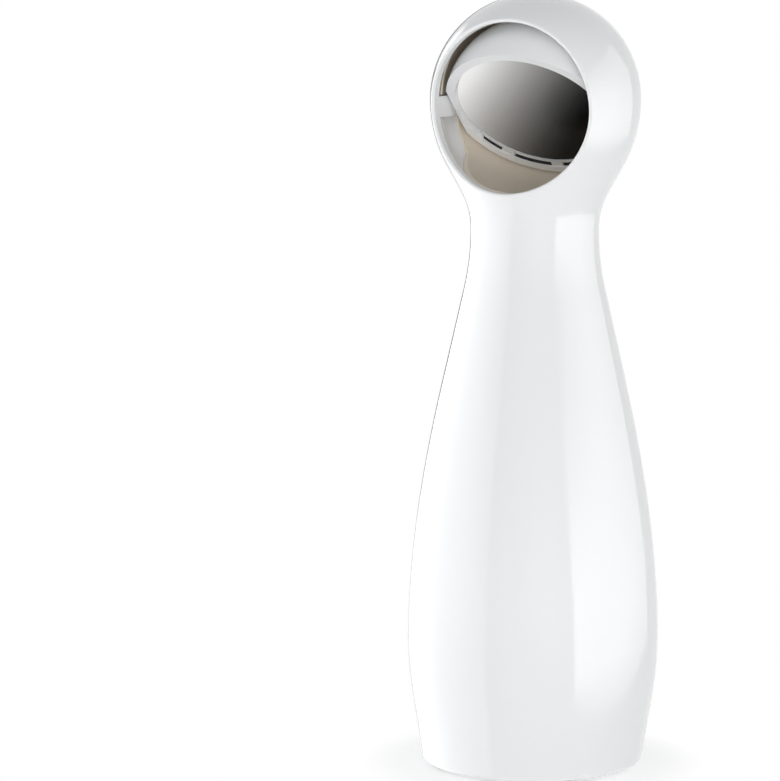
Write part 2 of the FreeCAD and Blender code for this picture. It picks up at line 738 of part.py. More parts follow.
def top_contacts():
    """Link plate and two end plates with their solder tabs."""
    plates = [top_link()]
    half = PLATE_W / 2
    for x, y in tab_places():
        plate = block(x - half, x + half, y - half, y + half, CELL_TOP, CELL_TOP + PLATE_T)
        plates.append(fuse(plate, top_tab(x, y)))
    return plates


def door_contacts():
    """Two plates on the door, each under a pair of cells."""
    half = CELL_PITCH / 2
    wide = PLATE_W / 2
    reach = half + wide
    low = DOOR_TOP
    return [block(-reach, reach, y - wide, y + wide, low, low + PLATE_T) for y in (-half, half)]


# ---------------------------------------------------------------- battery door

def battery_door():
    """Round door with a finger notch and a recess for its captive screw."""
    door = rod(DOOR_R, BASE_Z, DOOR_TOP)
    door = door.cut(rod(DOOR_HEAD_R + CLEARANCE, BASE_Z - TINY, BASE_Z + DOOR_HEAD_H))
    door = door.cut(rod(DOOR_SCREW_R + DOOR_SCREW_FIT, BASE_Z, DOOR_TOP + TINY))
    return door.cut(rod_y(NOTCH_R, DOOR_R - NOTCH_L, DOOR_R + NOTCH_L, 0, BASE_Z))


def door_screw():
    """Coin-slot screw, held in the door by its clip."""
    top = BASE_Z + DOOR_HEAD_H
    head = rod(DOOR_HEAD_R, BASE_Z, top)
    shank = rod(DOOR_SCREW_R, top, DOOR_SCREW_TOP)
    half = COIN_SLOT_W / 2
    slot = block(-DOOR_HEAD_R, DOOR_HEAD_R, -half, half, BASE_Z - TINY, BASE_Z + COIN_SLOT_H)
    return fuse(head, shank).cut(slot)


def door_clip():
    """Ring on the screw above the door, which keeps it captive."""
    low = DOOR_TOP + RUNNING
    return ring(DOOR_HEAD_R, DOOR_SCREW_R, low, low + DOOR_CLIP_T)


def screw_insert():
    """Brass insert in the middle of the battery box, which takes the door's screw."""
    low = DOOR_SCREW_TOP - INSERT_L
    return ring(INSERT_R, DOOR_SCREW_R + RUNNING, low, DOOR_SCREW_TOP)


# ---------------------------------------------------------------- control board
def control_board():
    board = rod(BOARD_R, BOARD_Z, BOARD_TOP)
    for x, y in board_post_places():
        board = board.cut(rod(SMALL_R + SCREW_FIT, BOARD_Z - TINY, BOARD_TOP + TINY, x, y))
    for x, y in tab_places():
        board = board.cut(top_tab(x, y, TAB_GAP))
    return board


def board_screws():
    """Screws of the control board and, from the other side, of the switch board."""
    down = V(0, 0, -1)
    screws = [small_screw(BOARD_SCREW_L, x, y, BOARD_TOP, down) for x, y in board_post_places()]
    for side in (-1, 1):
        x = side * SWITCH_BOSS_X
        screws.append(small_screw(BOARD_SCREW_L, x, SWITCH_Y, BUTTON_Z, V(0, 1, 0)))
    return screws


def chip(x, y, long):
    """Chip on the control board, with its legs on both sides."""
    half = CHIP_W / 2
    legs = round(long / LEG_PITCH)
    case = block(x - long / 2, x + long / 2, y - half, y + half, BOARD_TOP + LEG_T / 2,
                 BOARD_TOP + CHIP_H)
    reach = half + LEG_L
    pins = []
    for i in range(legs):
        px = x + (i - (legs - 1) / 2) * LEG_PITCH - LEG_W / 2
        pins.append(block(px, px + LEG_W, y - reach, y + reach, BOARD_TOP, BOARD_TOP + LEG_T))
    return fuse(case, *pins)


def board_chips():
    return [chip(*values) for values in CHIPS]


def board_capacitors():
    return [rod(CAPACITOR_R, BOARD_TOP, BOARD_TOP + CAPACITOR_H, x, y) for x, y in CAPACITORS]


def socket(x, y):
    """Open two-pin socket for a pair of leads."""
    half_x, half_y = SOCKET[0] / 2, SOCKET[1] / 2
    top = BOARD_TOP + SOCKET[2]
    case = block(x - half_x, x + half_x, y - half_y, y + half_y, BOARD_TOP, top)
    half_x, half_y = half_x - SOCKET_WALL, half_y - SOCKET_WALL
    return case.cut(block(x - half_x, x + half_x, y - half_y, y + half_y,
                          BOARD_TOP + SOCKET_WALL, top + TINY))


def board_sockets():
    return [socket(x, y) for x, y in SOCKETS]


# ---------------------------------------------------------------- motor
def motor_section(inset, low, high):
    """Round motor outline with two flats."""
    radius, flat = MOTOR_R - inset, MOTOR_FLAT - inset
    return rod(radius, low, high).common(block(-radius, radius, -flat, flat, low, high))


def motor_can():
    can = motor_section(0, MOTOR_LOW, PLATE_Z)
    inside = PLATE_Z - MOTOR_WALL
    can = can.cut(motor_section(MOTOR_WALL, MOTOR_LOW - TINY, inside))
    nose = rod(MOTOR_NOSE_R, inside, PLATE_Z + MOTOR_NOSE_L)
    hole = rod(SHAFT_R + RUNNING, inside - TINY, PLATE_Z + MOTOR_NOSE_L + TINY)
    return fuse(can, nose).cut(hole)


def motor_end_cap():
    """Plastic end of the motor, hollowed like a cup, with its rear bearing."""
    cap = motor_section(0, CAP_LOW, MOTOR_LOW)
    tail = rod(TAIL_R, CAP_LOW - TAIL_L, CAP_LOW)
    hole = rod(SHAFT_R + RUNNING, CAP_LOW - TAIL_L + TAIL_END, MOTOR_LOW + TINY)
    pocket = motor_section(MOTOR_WALL, CAP_LOW + MOTOR_CAP_L / 2, MOTOR_LOW + TINY)
    return fuse(cap, tail).cut(hole).cut(pocket)


def motor_magnets():
    """Two curved magnets on the inside of the can."""
    low, high = MOTOR_LOW + MAGNET_END, PLATE_Z - MAGNET_END
    tube = motor_section(MOTOR_WALL, low, high).cut(rod(MAGNET_R, low - TINY, high + TINY))
    sides = ((-MOTOR_R, -MAGNET_X), (MAGNET_X, MOTOR_R))
    return [tube.common(block(x0, x1, -MOTOR_R, MOTOR_R, low, high)) for x0, x1 in sides]


def motor_armature():
    """Three-pole iron core on the motor shaft."""
    low = MOTOR_LOW + ARMATURE_END
    high = low + ARMATURE_L
    core = rod(ARMATURE_R, low, high)
    for i in range(3):
        half = POLE_SLOT / 2
        slot = block(POLE_ROOT, ARMATURE_R + TINY, -half, half, low - TINY, high + TINY)
        slot.rotate(V(0, 0, 0), UP, 60 + 120 * i)
        core = core.cut(slot)
    return core.cut(rod(SHAFT_R, low - TINY, high + TINY))


def motor_shaft():
    return rod(SHAFT_R, CAP_LOW - TAIL_L + TAIL_END + END_PLAY, WHEEL_Z + GEAR_W - END_PLAY)


def arm_places():
    middle = ARM_X + ARM_T / 2
    return [(-middle, 0), (middle, 0)]


def motor_strap():
    """Bar under the motor, screwed to the two arms of the lower gear plate."""
    reach, half, low = ARM_X + ARM_T, ARM_W / 2, CAP_LOW - STRAP_T
    bar = block(-reach, reach, -half, half, low, CAP_LOW)
    bar = bar.cut(rod(TAIL_R + END_PLAY, low - TINY, CAP_LOW + TINY))
    for x, y in arm_places():
        bar = bar.cut(rod(SMALL_R + SCREW_FIT, low - TINY, CAP_LOW + TINY, x, y))
    return bar


# ---------------------------------------------------------------- gears
def involute(angle):
    return math.tan(angle) - angle


def half_tooth(teeth, radius):
    """Half the angle that an involute tooth takes at a radius."""
    pitch_r = MODULE * teeth / 2
    pressure = math.radians(PRESSURE_DEG)
    angle = math.acos(min(1.0, pitch_r * math.cos(pressure) / radius))
    at_pitch = (math.pi * MODULE / 2 - BACKLASH) / (2 * pitch_r)
    return at_pitch + involute(pressure) - involute(angle)


def gear(teeth, low, high, tooth_at, x=0.0, y=0.0):
    """Spur gear with a tooth centred at an angle in degrees."""
    pitch_r = MODULE * teeth / 2
    radii = (pitch_r - DEDENDUM * MODULE, pitch_r, pitch_r + ADDENDUM * MODULE)
    flank = [(r, half_tooth(teeth, r)) for r in radii]
    tooth = flank + [(r, -half) for r, half in reversed(flank)]
    points = []
    for i in range(teeth):
        middle = math.radians(tooth_at) + 2 * math.pi * i / teeth
        for r, half in tooth:
            angle = middle - half
            points.append(V(x + r * math.cos(angle), y + r * math.sin(angle), low))
    outline = Part.makePolygon(points + points[:1])
    return Part.Face(outline).extrude(V(0, 0, high - low))


def meshing(teeth):
    """Tooth angle of a middle gear that turns a gap to the countershaft, in front of it."""
    return -90 + 180 / teeth


def motor_pinion():
    low, high = WHEEL_Z - CLEARANCE, WHEEL_Z + GEAR_W
    pinion = gear(PINION_TEETH, low, high, meshing(PINION_TEETH))
    return pinion.cut(rod(SHAFT_R, low - TINY, high + TINY))


def countershaft():
    low = PLATE_Z - KNOB_H + KNOB_END + END_PLAY
    high = BRACKET_TOP + KNOB_H - KNOB_END - END_PLAY
    return rod(SHAFT_R, low, high, 0, -CENTRES)


def cluster_gear():
    """Large wheel and small pinion in one, pressed on the countershaft."""
    low, top = LOWER_TOP + END_PLAY, DRUM_Z + GEAR_W + END_PLAY
    wheel_top = WHEEL_Z + GEAR_W
    wheel = gear(WHEEL_TEETH, WHEEL_Z, wheel_top, 90, 0, -CENTRES)
    pinion = gear(DRUM_PINION_TEETH, wheel_top, top, 90, 0, -CENTRES)
    hub = rod(KNOB_R, low, WHEEL_Z, 0, -CENTRES)
    return fuse(wheel, pinion, hub).cut(rod(SHAFT_R, low - TINY, top + TINY, 0, -CENTRES))


def lens_pinion():
    low, high = LENS_GEAR_Z - CLEARANCE, BRACKET_Z - END_PLAY
    pinion = gear(PINION_TEETH, low, high, 90, 0, -CENTRES)
    return pinion.cut(rod(SHAFT_R, low - TINY, high + TINY, 0, -CENTRES))


def pillar_places():
    return [polar(PILLAR_PLACE, angle) for angle in (0, 90, 180)]


def leg_places():
    return [polar(LEG_PLACE, angle) for angle in (90, -20, 200)]


def gear_screw_places():
    return [(-GEAR_SCREW[0], GEAR_SCREW[1]), GEAR_SCREW]


def screw_holes(shape, places, low, high):
    """Cut upright holes for small screws."""
    for x, y in places:
        shape = shape.cut(rod(SMALL_R + SCREW_FIT, low, high, x, y))
    return shape


def lower_gear_plate():
    """Plate with the motor's arms below it and the pillars above it."""
    plate = rod(LOWER_PLATE_R, PLATE_Z, LOWER_TOP)
    knob = rod(KNOB_R, PLATE_Z - KNOB_H, PLATE_Z, 0, -CENTRES)
    pillars = [rod(PILLAR_R, PLATE_Z, UPPER_PLATE_Z, x, y) for x, y in pillar_places()]
    half = ARM_W / 2
    arms = []
    for x in (ARM_X, -ARM_X - ARM_T):
        arms.append(block(x, x + ARM_T, -half, half, CAP_LOW, PLATE_Z))
    plate = fuse(plate, knob, *pillars, *arms)
    plate = plate.cut(rod(MOTOR_NOSE_R, PLATE_Z - TINY, LOWER_TOP + TINY))
    shaft_low = PLATE_Z - KNOB_H + KNOB_END
    plate = plate.cut(rod(SHAFT_R + RUNNING, shaft_low, LOWER_TOP + TINY, 0, -CENTRES))
    plate = screw_holes(plate, gear_screw_places(), PLATE_Z - TINY, LOWER_TOP + TINY)
    depth = GEAR_SCREW_L - STRAP_T + SCREW_TIP
    plate = screw_holes(plate, arm_places(), CAP_LOW - TINY, CAP_LOW + depth)
    depth = GEAR_SCREW_L - GEAR_PLATE_T + SCREW_TIP
    return screw_holes(plate, pillar_places(), UPPER_PLATE_Z - depth, UPPER_PLATE_Z + TINY)


def upper_gear_plate():
    """Plate with the sleeve that the drum turns in."""
    low, top = UPPER_PLATE_Z, UPPER_TOP + SLEEVE_H
    sleeve = rod(DRUM_R + SLEEVE_WALL, UPPER_PLATE_Z, top)
    plate = fuse(rod(UPPER_PLATE_R, low, UPPER_TOP), sleeve)
    plate = plate.cut(rod(DRUM_R + RUNNING, low - TINY, top + TINY))
    plate = plate.cut(rod(SHAFT_R + RUNNING, low - TINY, top, 0, -CENTRES))
    return screw_holes(plate, pillar_places() + leg_places(), low - TINY, top)


def gear_screws():
    """Screws of both gear plates, of the lens bracket's legs and of the motor's strap."""
    down = V(0, 0, -1)
    screws = [small_screw(GEAR_SCREW_L, x, y, LOWER_TOP, down) for x, y in gear_screw_places()]
    screws += [small_screw(GEAR_SCREW_L, x, y, UPPER_TOP, down) for x, y in pillar_places()]
    screws += [small_screw(GEAR_SCREW_L, x, y, UPPER_PLATE_Z, UP) for x, y in leg_places()]
    low = CAP_LOW - STRAP_T
    screws += [small_screw(GEAR_SCREW_L, x, y, low, UP) for x, y in arm_places()]
    return screws


# ---------------------------------------------------------------- laser and its drum
def laser_rod(radius, low, high):
    """Cylinder on the laser's leaning axis, from low to high past the drum's axis."""
    return rod_along(radius, LASER_FOOT, LEAN, low, high)


def clip_groove(outer):
    """Ring-shaped room of the clip above the sleeve."""
    return ring(outer, DRUM_R - GROOVE, CLIP_Z, CLIP_Z + CLIP_H)


def drum_gear():
    """Gear, collar and journal in one, with the leaning bore for the laser."""
    drum = fuse(gear(DRUM_TEETH, DRUM_Z, DRUM_Z + GEAR_W, meshing(DRUM_TEETH)),
                rod(COLLAR_R, DRUM_Z + GEAR_W, UPPER_PLATE_Z - END_PLAY),
                rod(DRUM_R, DRUM_Z + GEAR_W, DRUM_TOP))
    drum = drum.cut(clip_groove(COLLAR_R))
    return drum.cut(laser_rod(LASER_R + RUNNING, 0, BARREL_HIGH + BEZEL_T))


def drum_clip():
    """Open spring clip in the drum's groove, which hangs the drum in the sleeve."""
    half = CLIP_MOUTH / 2
    mouth = block(-half, half, 0, COLLAR_R + TINY, CLIP_Z - TINY, CLIP_Z + CLIP_H + TINY)
    return clip_groove(COLLAR_R).cut(mouth)


def laser_barrel():
    """Brass tube with a wider front end and a small hole for the beam."""
    barrel = fuse(laser_rod(LASER_R, BARREL_LOW, BARREL_HIGH + TINY),
                  laser_rod(BEZEL_R, BARREL_HIGH, BARREL_HIGH + BEZEL_T))
    inner = LASER_R - LASER_WALL
    barrel = barrel.cut(laser_rod(inner, BARREL_LOW - TINY, BARREL_HIGH))
    return barrel.cut(laser_rod(BEAM_R, BARREL_HIGH - TINY, BARREL_HIGH + BEZEL_T + TINY))


def barrel_clip():
    """Ring on the barrel under the drum, which keeps the barrel in its bore."""
    high = DRUM_Z - TILT_Z - BEZEL_R * math.tan(TILT) - RUNNING
    clip = laser_rod(BEZEL_R, high - BARREL_CLIP_T, high)
    return clip.cut(laser_rod(LASER_R, 0, BARREL_HIGH))


def laser_lens():
    return laser_rod(LASER_R - LASER_WALL, BARREL_HIGH - LASER_LENS_T, BARREL_HIGH)


def laser_diode():
    """Round board at the rear of the barrel, with the diode's can on it."""
    return fuse(laser_rod(DIODE_BOARD_R, BARREL_LOW - DIODE_BOARD_T, BARREL_LOW),
                laser_rod(DIODE_R, BARREL_LOW - TINY, BARREL_LOW + DIODE_L))


# ---------------------------------------------------------------- wedge lens
def lens_gear():
    """Gear with the tube that holds the wedge lens and turns in the bracket."""
    top = BRACKET_TOP + HUB_TOP
    seat = LENS_GEAR_Z + LENS_SEAT
    wheel = gear(WHEEL_TEETH, LENS_GEAR_Z, LENS_GEAR_Z + GEAR_W, meshing(WHEEL_TEETH))
    tube = fuse(wheel, rod(HUB_R, LENS_GEAR_Z, top))
    tube = tube.cut(rod(LENS_R, seat, top + TINY))
    return tube.cut(rod(LENS_R - LENS_SEAT, LENS_GEAR_Z - TINY, top))


def wedge_lens():
    """Clear disc whose top face leans, so that it bends the beam."""
    low = LENS_GEAR_Z + LENS_SEAT
    lean = block(-REACH, REACH, -REACH, REACH, 0, REACH)
    lean.rotate(V(0, 0, 0), V(1, 0, 0), LENS_WEDGE_DEG)
    lean.translate(V(0, 0, low + LENS_T))
    return rod(LENS_R, low, low + 2 * LENS_T).cut(lean)


def lens_retainer():
    low = BRACKET_TOP + END_PLAY
    return ring(RETAINER_R, HUB_R, low, low + RETAINER_T)


def lens_bracket():
    """Plate on three legs, with the bearings of the lens gear and the countershaft."""
    plate = rod(BRACKET_R, BRACKET_Z, BRACKET_TOP)
    legs = [rod(LEG_R, UPPER_TOP, BRACKET_TOP, x, y) for x, y in leg_places()]
    knob = rod(KNOB_R, BRACKET_Z, BRACKET_TOP + KNOB_H, 0, -CENTRES)
    plate = fuse(plate, knob, *legs)
    plate = plate.cut(rod(HUB_R + RUNNING, BRACKET_Z - TINY, BRACKET_TOP + TINY))
    shaft_top = BRACKET_TOP + KNOB_H - KNOB_END
    plate = plate.cut(rod(SHAFT_R + RUNNING, BRACKET_Z - TINY, shaft_top, 0, -CENTRES))
    depth = GEAR_SCREW_L - GEAR_PLATE_T + SCREW_TIP
    return screw_holes(plate, leg_places(), UPPER_TOP - TINY, UPPER_TOP + depth)


# ---------------------------------------------------------------- power button
def power_button():
    """Push button whose face follows the body, with a flange and a stem inside."""
    cap = rod_y(BUTTON_R, FLANGE_Y, BELLY_R + WALL, 0, BUTTON_Z).common(body(-BUTTON_PROUD))
    rim = [e for e in cap.Edges if e.BoundBox.YMin > BUTTON_STOP and e.Length > BUTTON_R]
    cap = cap.makeFillet(BUTTON_ROUND, rim)
    flange = rod_y(FLANGE_R, FLANGE_Y, BUTTON_STOP - BUTTON_PLAY, 0, BUTTON_Z)
    stem = rod_y(STEM_R, SWITCH_TOP + PLUNGER_OUT, FLANGE_Y + TINY, 0, BUTTON_Z)
    return fuse(cap, flange, stem)


def switch_plunger():
    """Plunger of the switch, which the button's stem rests on."""
    return rod_y(PLUNGER_R, SWITCH_TOP - PLUNGER_OUT, SWITCH_TOP + PLUNGER_OUT, 0, BUTTON_Z)


def tact_switch():
    half, low = SWITCH_SIZE / 2, SWITCH_Y + SWITCH_BOARD_T
    case = block(-half, half, low, SWITCH_TOP, BUTTON_Z - half, BUTTON_Z + half)
    room = rod_y(PLUNGER_R + RUNNING, SWITCH_TOP - 2 * PLUNGER_OUT, SWITCH_TOP + TINY, 0, BUTTON_Z)
    return case.cut(room)


def switch_board():
    half_x, half_z = SWITCH_BOARD_X, SWITCH_BOARD_Z
    far = SWITCH_Y + SWITCH_BOARD_T
    board = block(-half_x, half_x, SWITCH_Y, far, BUTTON_Z - half_z, BUTTON_Z + half_z)
    for side in (-1, 1):
        x = side * SWITCH_BOSS_X
        board = board.cut(rod_y(SMALL_R + SCREW_FIT, SWITCH_Y - TINY, far + TINY, x, BUTTON_Z))
    return board


# ---------------------------------------------------------------- head bowl and window
def bowl_outline():
    """Block as wide as the head. From the side its edge is that of the bowl and the liner: it
    falls to the front below, and has a notch for the pivot blocks."""
    half = BLOCK_H / 2 + CLEARANCE
    step = PIVOT_Z - LINER_DROP
    rear = SEAM_Y + CLEARANCE
    fall = (LINER_Y + HEAD_R) * math.tan(math.radians(LINER_DEG))
    low = BOWL_SEAT_Z - SKIRT_H - CLEARANCE
    corners = [(-HEAD_R, low), (-HEAD_R, step - fall), (LINER_Y, step), (LINER_Y, PIVOT_Z - half),
               (rear, PIVOT_Z - half), (rear, PIVOT_Z + half), (HOOD_Y, PIVOT_Z + half),
               (HOOD_Y, HEIGHT), (HEAD_R, HEIGHT), (HEAD_R, low)]
    points = [V(-HEAD_R, y, z) for y, z in corners]
    return Part.Face(Part.makePolygon(points + points[:1])).extrude(V(2 * HEAD_R, 0, 0))


def head_bowl():
    """Dish under the mirror, which closes the neck except for the laser's window."""
    ball = Part.makeSphere(BOWL_R, PIVOT)
    dish = Part.makeSphere(BOWL_R + BOWL_WALL, PIVOT)
    dish = dish.common(rod(REACH, BOWL_SEAT_Z, BOWL_RIM_Z))
    seat = rod(BOWL_SEAT_R, BOWL_SEAT_Z, WINDOW_Z + WINDOW_T)
    low = BOWL_SEAT_Z - SKIRT_H
    skirt_r = LEDGE_R - CLEARANCE / 2
    skirt = rod(skirt_r, low, BOWL_SEAT_Z + TINY)
    bowl = fuse(dish, seat, skirt).cut(ball).common(bowl_outline())
    bowl = bowl.cut(rod(skirt_r - SKIRT_WALL, low - TINY, WINDOW_Z - WINDOW_LIP))
    bowl = bowl.cut(rod(WINDOW_R, WINDOW_Z, PIVOT_Z))
    return bowl.cut(rod(WINDOW_R - WINDOW_LIP, BOWL_SEAT_Z, PIVOT_Z))


def head_liner():
    """Thin lining of the head behind and over the ball. It stands on the bowl's rim and carries
    the bowl's inside on."""
    room = body(WALL + LINER_GAP).common(rod(HEAD_R, BOWL_RIM_Z, HEIGHT))
    hollow = body(WALL + LINER_GAP + LINER_T).common(Part.makeSphere(BOWL_R, PIVOT))
    top = body(WALL + LINER_GAP + LINER_T).common(rod(HEAD_R, PIVOT_Z, HEIGHT))
    return room.cut(hollow).cut(top).common(bowl_outline())


def laser_window():
    return rod(WINDOW_R, WINDOW_Z, WINDOW_Z + WINDOW_T)


# ---------------------------------------------------------------- mirror and its carrier
def both_sides(shape):
    """A piece on the +X side and its mirror image."""
    return [shape, shape.mirror(V(0, 0, 0), V(1, 0, 0))]


def rod_x(radius, low, high):
    """Cylinder on the mirror's tilt axis."""
    return Part.makeCylinder(radius, high - low, V(low, 0, PIVOT_Z), V(1, 0, 0))


def face_rod(radius, low, high, shift=0.0):
    """Cylinder along the mirror's normal, from low to high past the tilt axis."""
    return rod_along(radius, PIVOT + SLOPE * shift, NORMAL, low, high)


def flat_ball(inset):
    """The carrier's ball with its two flat sides, taken in by an inset."""
    side, radius = CHEEK_X - inset, BALL_R - inset
    room = block(-side, side, -radius, radius, PIVOT_Z - radius, PIVOT_Z + radius)
    return Part.makeSphere(radius, PIVOT).common(room)


def mirror_carrier():
    """Hollow ball with flat cheeks, pivot pins and a recess for the mirror."""
    seat = MIRROR_N - MIRROR_T
    shell = flat_ball(0).common(face_rod(REACH, -REACH, FACE_N))
    shell = shell.cut(flat_ball(BALL_WALL).common(face_rod(REACH, -REACH, seat - SEAT_T)))
    shell = shell.cut(face_rod(BALL_HOLE_R, -REACH, seat - SEAT_T))
    pins = both_sides(rod_x(PIN_R, CHEEK_X - BALL_WALL, HEAD_R - WALL - CLEARANCE))
    shell = fuse(shell, *pins)
    for shift in (MIRROR_SHIFT, MIRROR_SHIFT - SLOT_DROP):
        shell = shell.cut(face_rod(MIRROR_R + MIRROR_GAP, seat, BALL_R, shift))
    return shell


def friction_washers():
    """Felt washers on the pins, which hold the mirror where it is set."""
    washer = rod_x(WASHER_R, CHEEK_X, CHEEK_X + WASHER_T)
    return both_sides(washer.cut(rod_x(PIN_R, 0, HEAD_R)))


def mirror_disc():
    return face_rod(MIRROR_R, MIRROR_N - MIRROR_T, MIRROR_N, MIRROR_SHIFT)


def mirror_clip():
    """Clip along the mirror's lower edge, with tabs across the slot."""
    outer = MIRROR_R + MIRROR_GAP
    inner = MIRROR_R - CLIP_LAP
    turn = FreeCAD.Rotation(V(1, 0, 0), SLOPE, NORMAL, "ZXY")
    seat = FreeCAD.Placement(PIVOT + SLOPE * MIRROR_SHIFT + NORMAL * MIRROR_N, turn)
    strip = Part.makeCylinder(outer, CLIP_T, V(0, 0, 0), UP, 2 * CLIP_DEG)
    strip.rotate(V(0, 0, 0), UP, -90 - CLIP_DEG)
    strip = strip.cut(rod(inner, -TINY, BALL_R))
    room = fuse(rod(outer, 0, CLIP_TAB_H), rod(outer, 0, CLIP_TAB_H, 0, -SLOT_DROP))
    half = CLIP_TAB_W / 2
    tabs = []
    for i in range(CLIP_TABS):
        tab = block(-half, half, -BALL_R, 0, 0, CLIP_TAB_H)
        tab.rotate(V(0, 0, 0), UP, CLIP_TAB_STEP * (i - (CLIP_TABS - 1) / 2))
        tabs.append(tab.common(room).cut(rod(inner, -TINY, BALL_R)))
    clip = fuse(strip, *tabs)
    clip.Placement = seat.multiply(clip.Placement)
    return clip


def pivot_keys():
    """Keys in the slots behind the pins, hollowed at the front to the pins' radius."""
    low, high = PIVOT_Z - PIN_R, PIVOT_Z + PIN_R
    end = SEAM_Y - SEAM_GAP / 2
    key = block(CHEEK_X + BLOCK_GAP, HEAD_R - WALL - KEY_GAP, 0, end, low, high)
    return both_sides(key.cut(rod_x(PIN_R + RUNNING, 0, HEAD_R)))


# ---------------------------------------------------------------- files
def pieces():
    """Every node's name and its solids."""
    nodes = {
        "front_shell": [front_shell()],
        "rear_shell": [rear_shell()],
        "case_screws": case_screws(),
        "base_cover": [base_cover()],
        "base_screws": base_screws(),
        "rubber_feet": rubber_feet(),
        "battery_box": [battery_box()],
        "top_contacts": top_contacts(),
        "top_springs": top_springs(),
        "screw_insert": [screw_insert()],
        "battery_door": [battery_door()],
        "door_contacts": door_contacts(),
        "door_springs": door_springs(),
        "door_screw": [door_screw()],
        "door_clip": [door_clip()],
        "control_board": [control_board()],
        "board_screws": board_screws(),
        "board_chips": board_chips(),
        "board_capacitors": board_capacitors(),
        "board_sockets": board_sockets(),
        "motor_can": [motor_can()],
        "motor_end_cap": [motor_end_cap()],
        "motor_magnets": motor_magnets(),
        "motor_armature": [motor_armature()],
        "motor_shaft": [motor_shaft()],
        "motor_pinion": [motor_pinion()],
        "motor_strap": [motor_strap()],
        "lower_gear_plate": [lower_gear_plate()],
        "upper_gear_plate": [upper_gear_plate()],
        "gear_screws": gear_screws(),
        "countershaft": [countershaft()],
        "cluster_gear": [cluster_gear()],
        "lens_pinion": [lens_pinion()],
        "drum_gear": [drum_gear()],
        "drum_clip": [drum_clip()],
        "laser_barrel": [laser_barrel()],
        "barrel_clip": [barrel_clip()],
        "laser_lens": [laser_lens()],
        "laser_diode": [laser_diode()],
        "lens_gear": [lens_gear()],
        "wedge_lens": [wedge_lens()],
        "lens_retainer": [lens_retainer()],
        "lens_bracket": [lens_bracket()],
        "power_button": [power_button()],
        "switch_plunger": [switch_plunger()],
        "tact_switch": [tact_switch()],
        "switch_board": [switch_board()],
        "head_bowl": [head_bowl()],
        "head_liner": [head_liner()],
        "laser_window": [laser_window()],
        "mirror_carrier": [mirror_carrier()],
        "friction_washers": friction_washers(),
        "mirror_disc": [mirror_disc()],
        "mirror_clip": [mirror_clip()],
        "pivot_keys": pivot_keys(),
    }
    for number, solid in enumerate(cells(), start=1):
        nodes["battery_" + str(number)] = [solid]
    return nodes


def write_files():
    os.makedirs("parts", exist_ok=True)
    for name, solids in pieces().items():
        shape = solids[0] if len(solids) == 1 else Part.makeCompound(solids)
        shape.exportStep("parts/" + name + ".step")


write_files()
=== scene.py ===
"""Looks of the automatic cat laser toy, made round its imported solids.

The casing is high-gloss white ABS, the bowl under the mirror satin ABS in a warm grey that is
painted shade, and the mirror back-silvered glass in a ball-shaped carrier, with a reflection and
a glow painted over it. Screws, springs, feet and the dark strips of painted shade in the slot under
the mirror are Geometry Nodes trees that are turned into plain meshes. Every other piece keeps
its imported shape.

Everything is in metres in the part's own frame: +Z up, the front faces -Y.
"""

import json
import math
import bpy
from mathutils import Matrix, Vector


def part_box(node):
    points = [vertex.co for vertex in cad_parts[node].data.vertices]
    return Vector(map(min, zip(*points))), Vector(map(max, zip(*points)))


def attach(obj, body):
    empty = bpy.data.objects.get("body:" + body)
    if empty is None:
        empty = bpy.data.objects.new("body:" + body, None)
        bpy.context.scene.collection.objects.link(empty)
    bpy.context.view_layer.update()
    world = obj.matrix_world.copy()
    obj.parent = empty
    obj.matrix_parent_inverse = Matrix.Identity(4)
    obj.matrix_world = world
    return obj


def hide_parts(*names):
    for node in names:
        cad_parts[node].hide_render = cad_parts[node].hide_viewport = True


bl_info = {
    "name": "Cat Laser Toy",
    "version": (1, 0, 0),
    "blender": (4, 5, 0),
    "location": "3D View > Sidebar > Toy",
    "description": "Builds the finish and the small parts of a skittle-shaped cat laser toy",
    "category": "Object",
}

import bpy
import numpy as np
from bpy.props import FloatProperty, FloatVectorProperty, PointerProperty
from mathutils import Quaternion, Vector

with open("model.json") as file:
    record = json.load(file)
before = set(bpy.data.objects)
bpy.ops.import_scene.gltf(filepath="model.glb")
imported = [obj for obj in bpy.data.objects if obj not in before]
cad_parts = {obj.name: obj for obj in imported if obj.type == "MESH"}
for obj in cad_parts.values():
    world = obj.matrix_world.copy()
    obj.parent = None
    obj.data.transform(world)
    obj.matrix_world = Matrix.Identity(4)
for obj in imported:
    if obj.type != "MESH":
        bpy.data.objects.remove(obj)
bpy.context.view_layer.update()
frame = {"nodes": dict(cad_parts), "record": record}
NODES = frame["nodes"]

MM = 0.001

# The camera: degrees round the toy, metres from its axis, degrees past the axis and down
VIEW_AZIMUTH = 25.0
VIEW_DISTANCE = 1.023
VIEW_HEIGHT = 0.249
VIEW_PAN = 2.2513
VIEW_PITCH = 7.9843
IMAGE_SIDE = 781                 # pixels on the render's long side
FOCAL_PIXELS = 3698.7
SENSOR = 36.0                    # mm

# The dark card behind the toy, and the round shadow on the table
CARD_AZIMUTH = 34.0              # degrees
CARD_COSINES = (0.984, 0.994)    # of the angles from its middle where it starts and is darkest
SHADOW_REACH = (0.031, 0.05)     # metres from the toy's axis where it starts to fade and ends
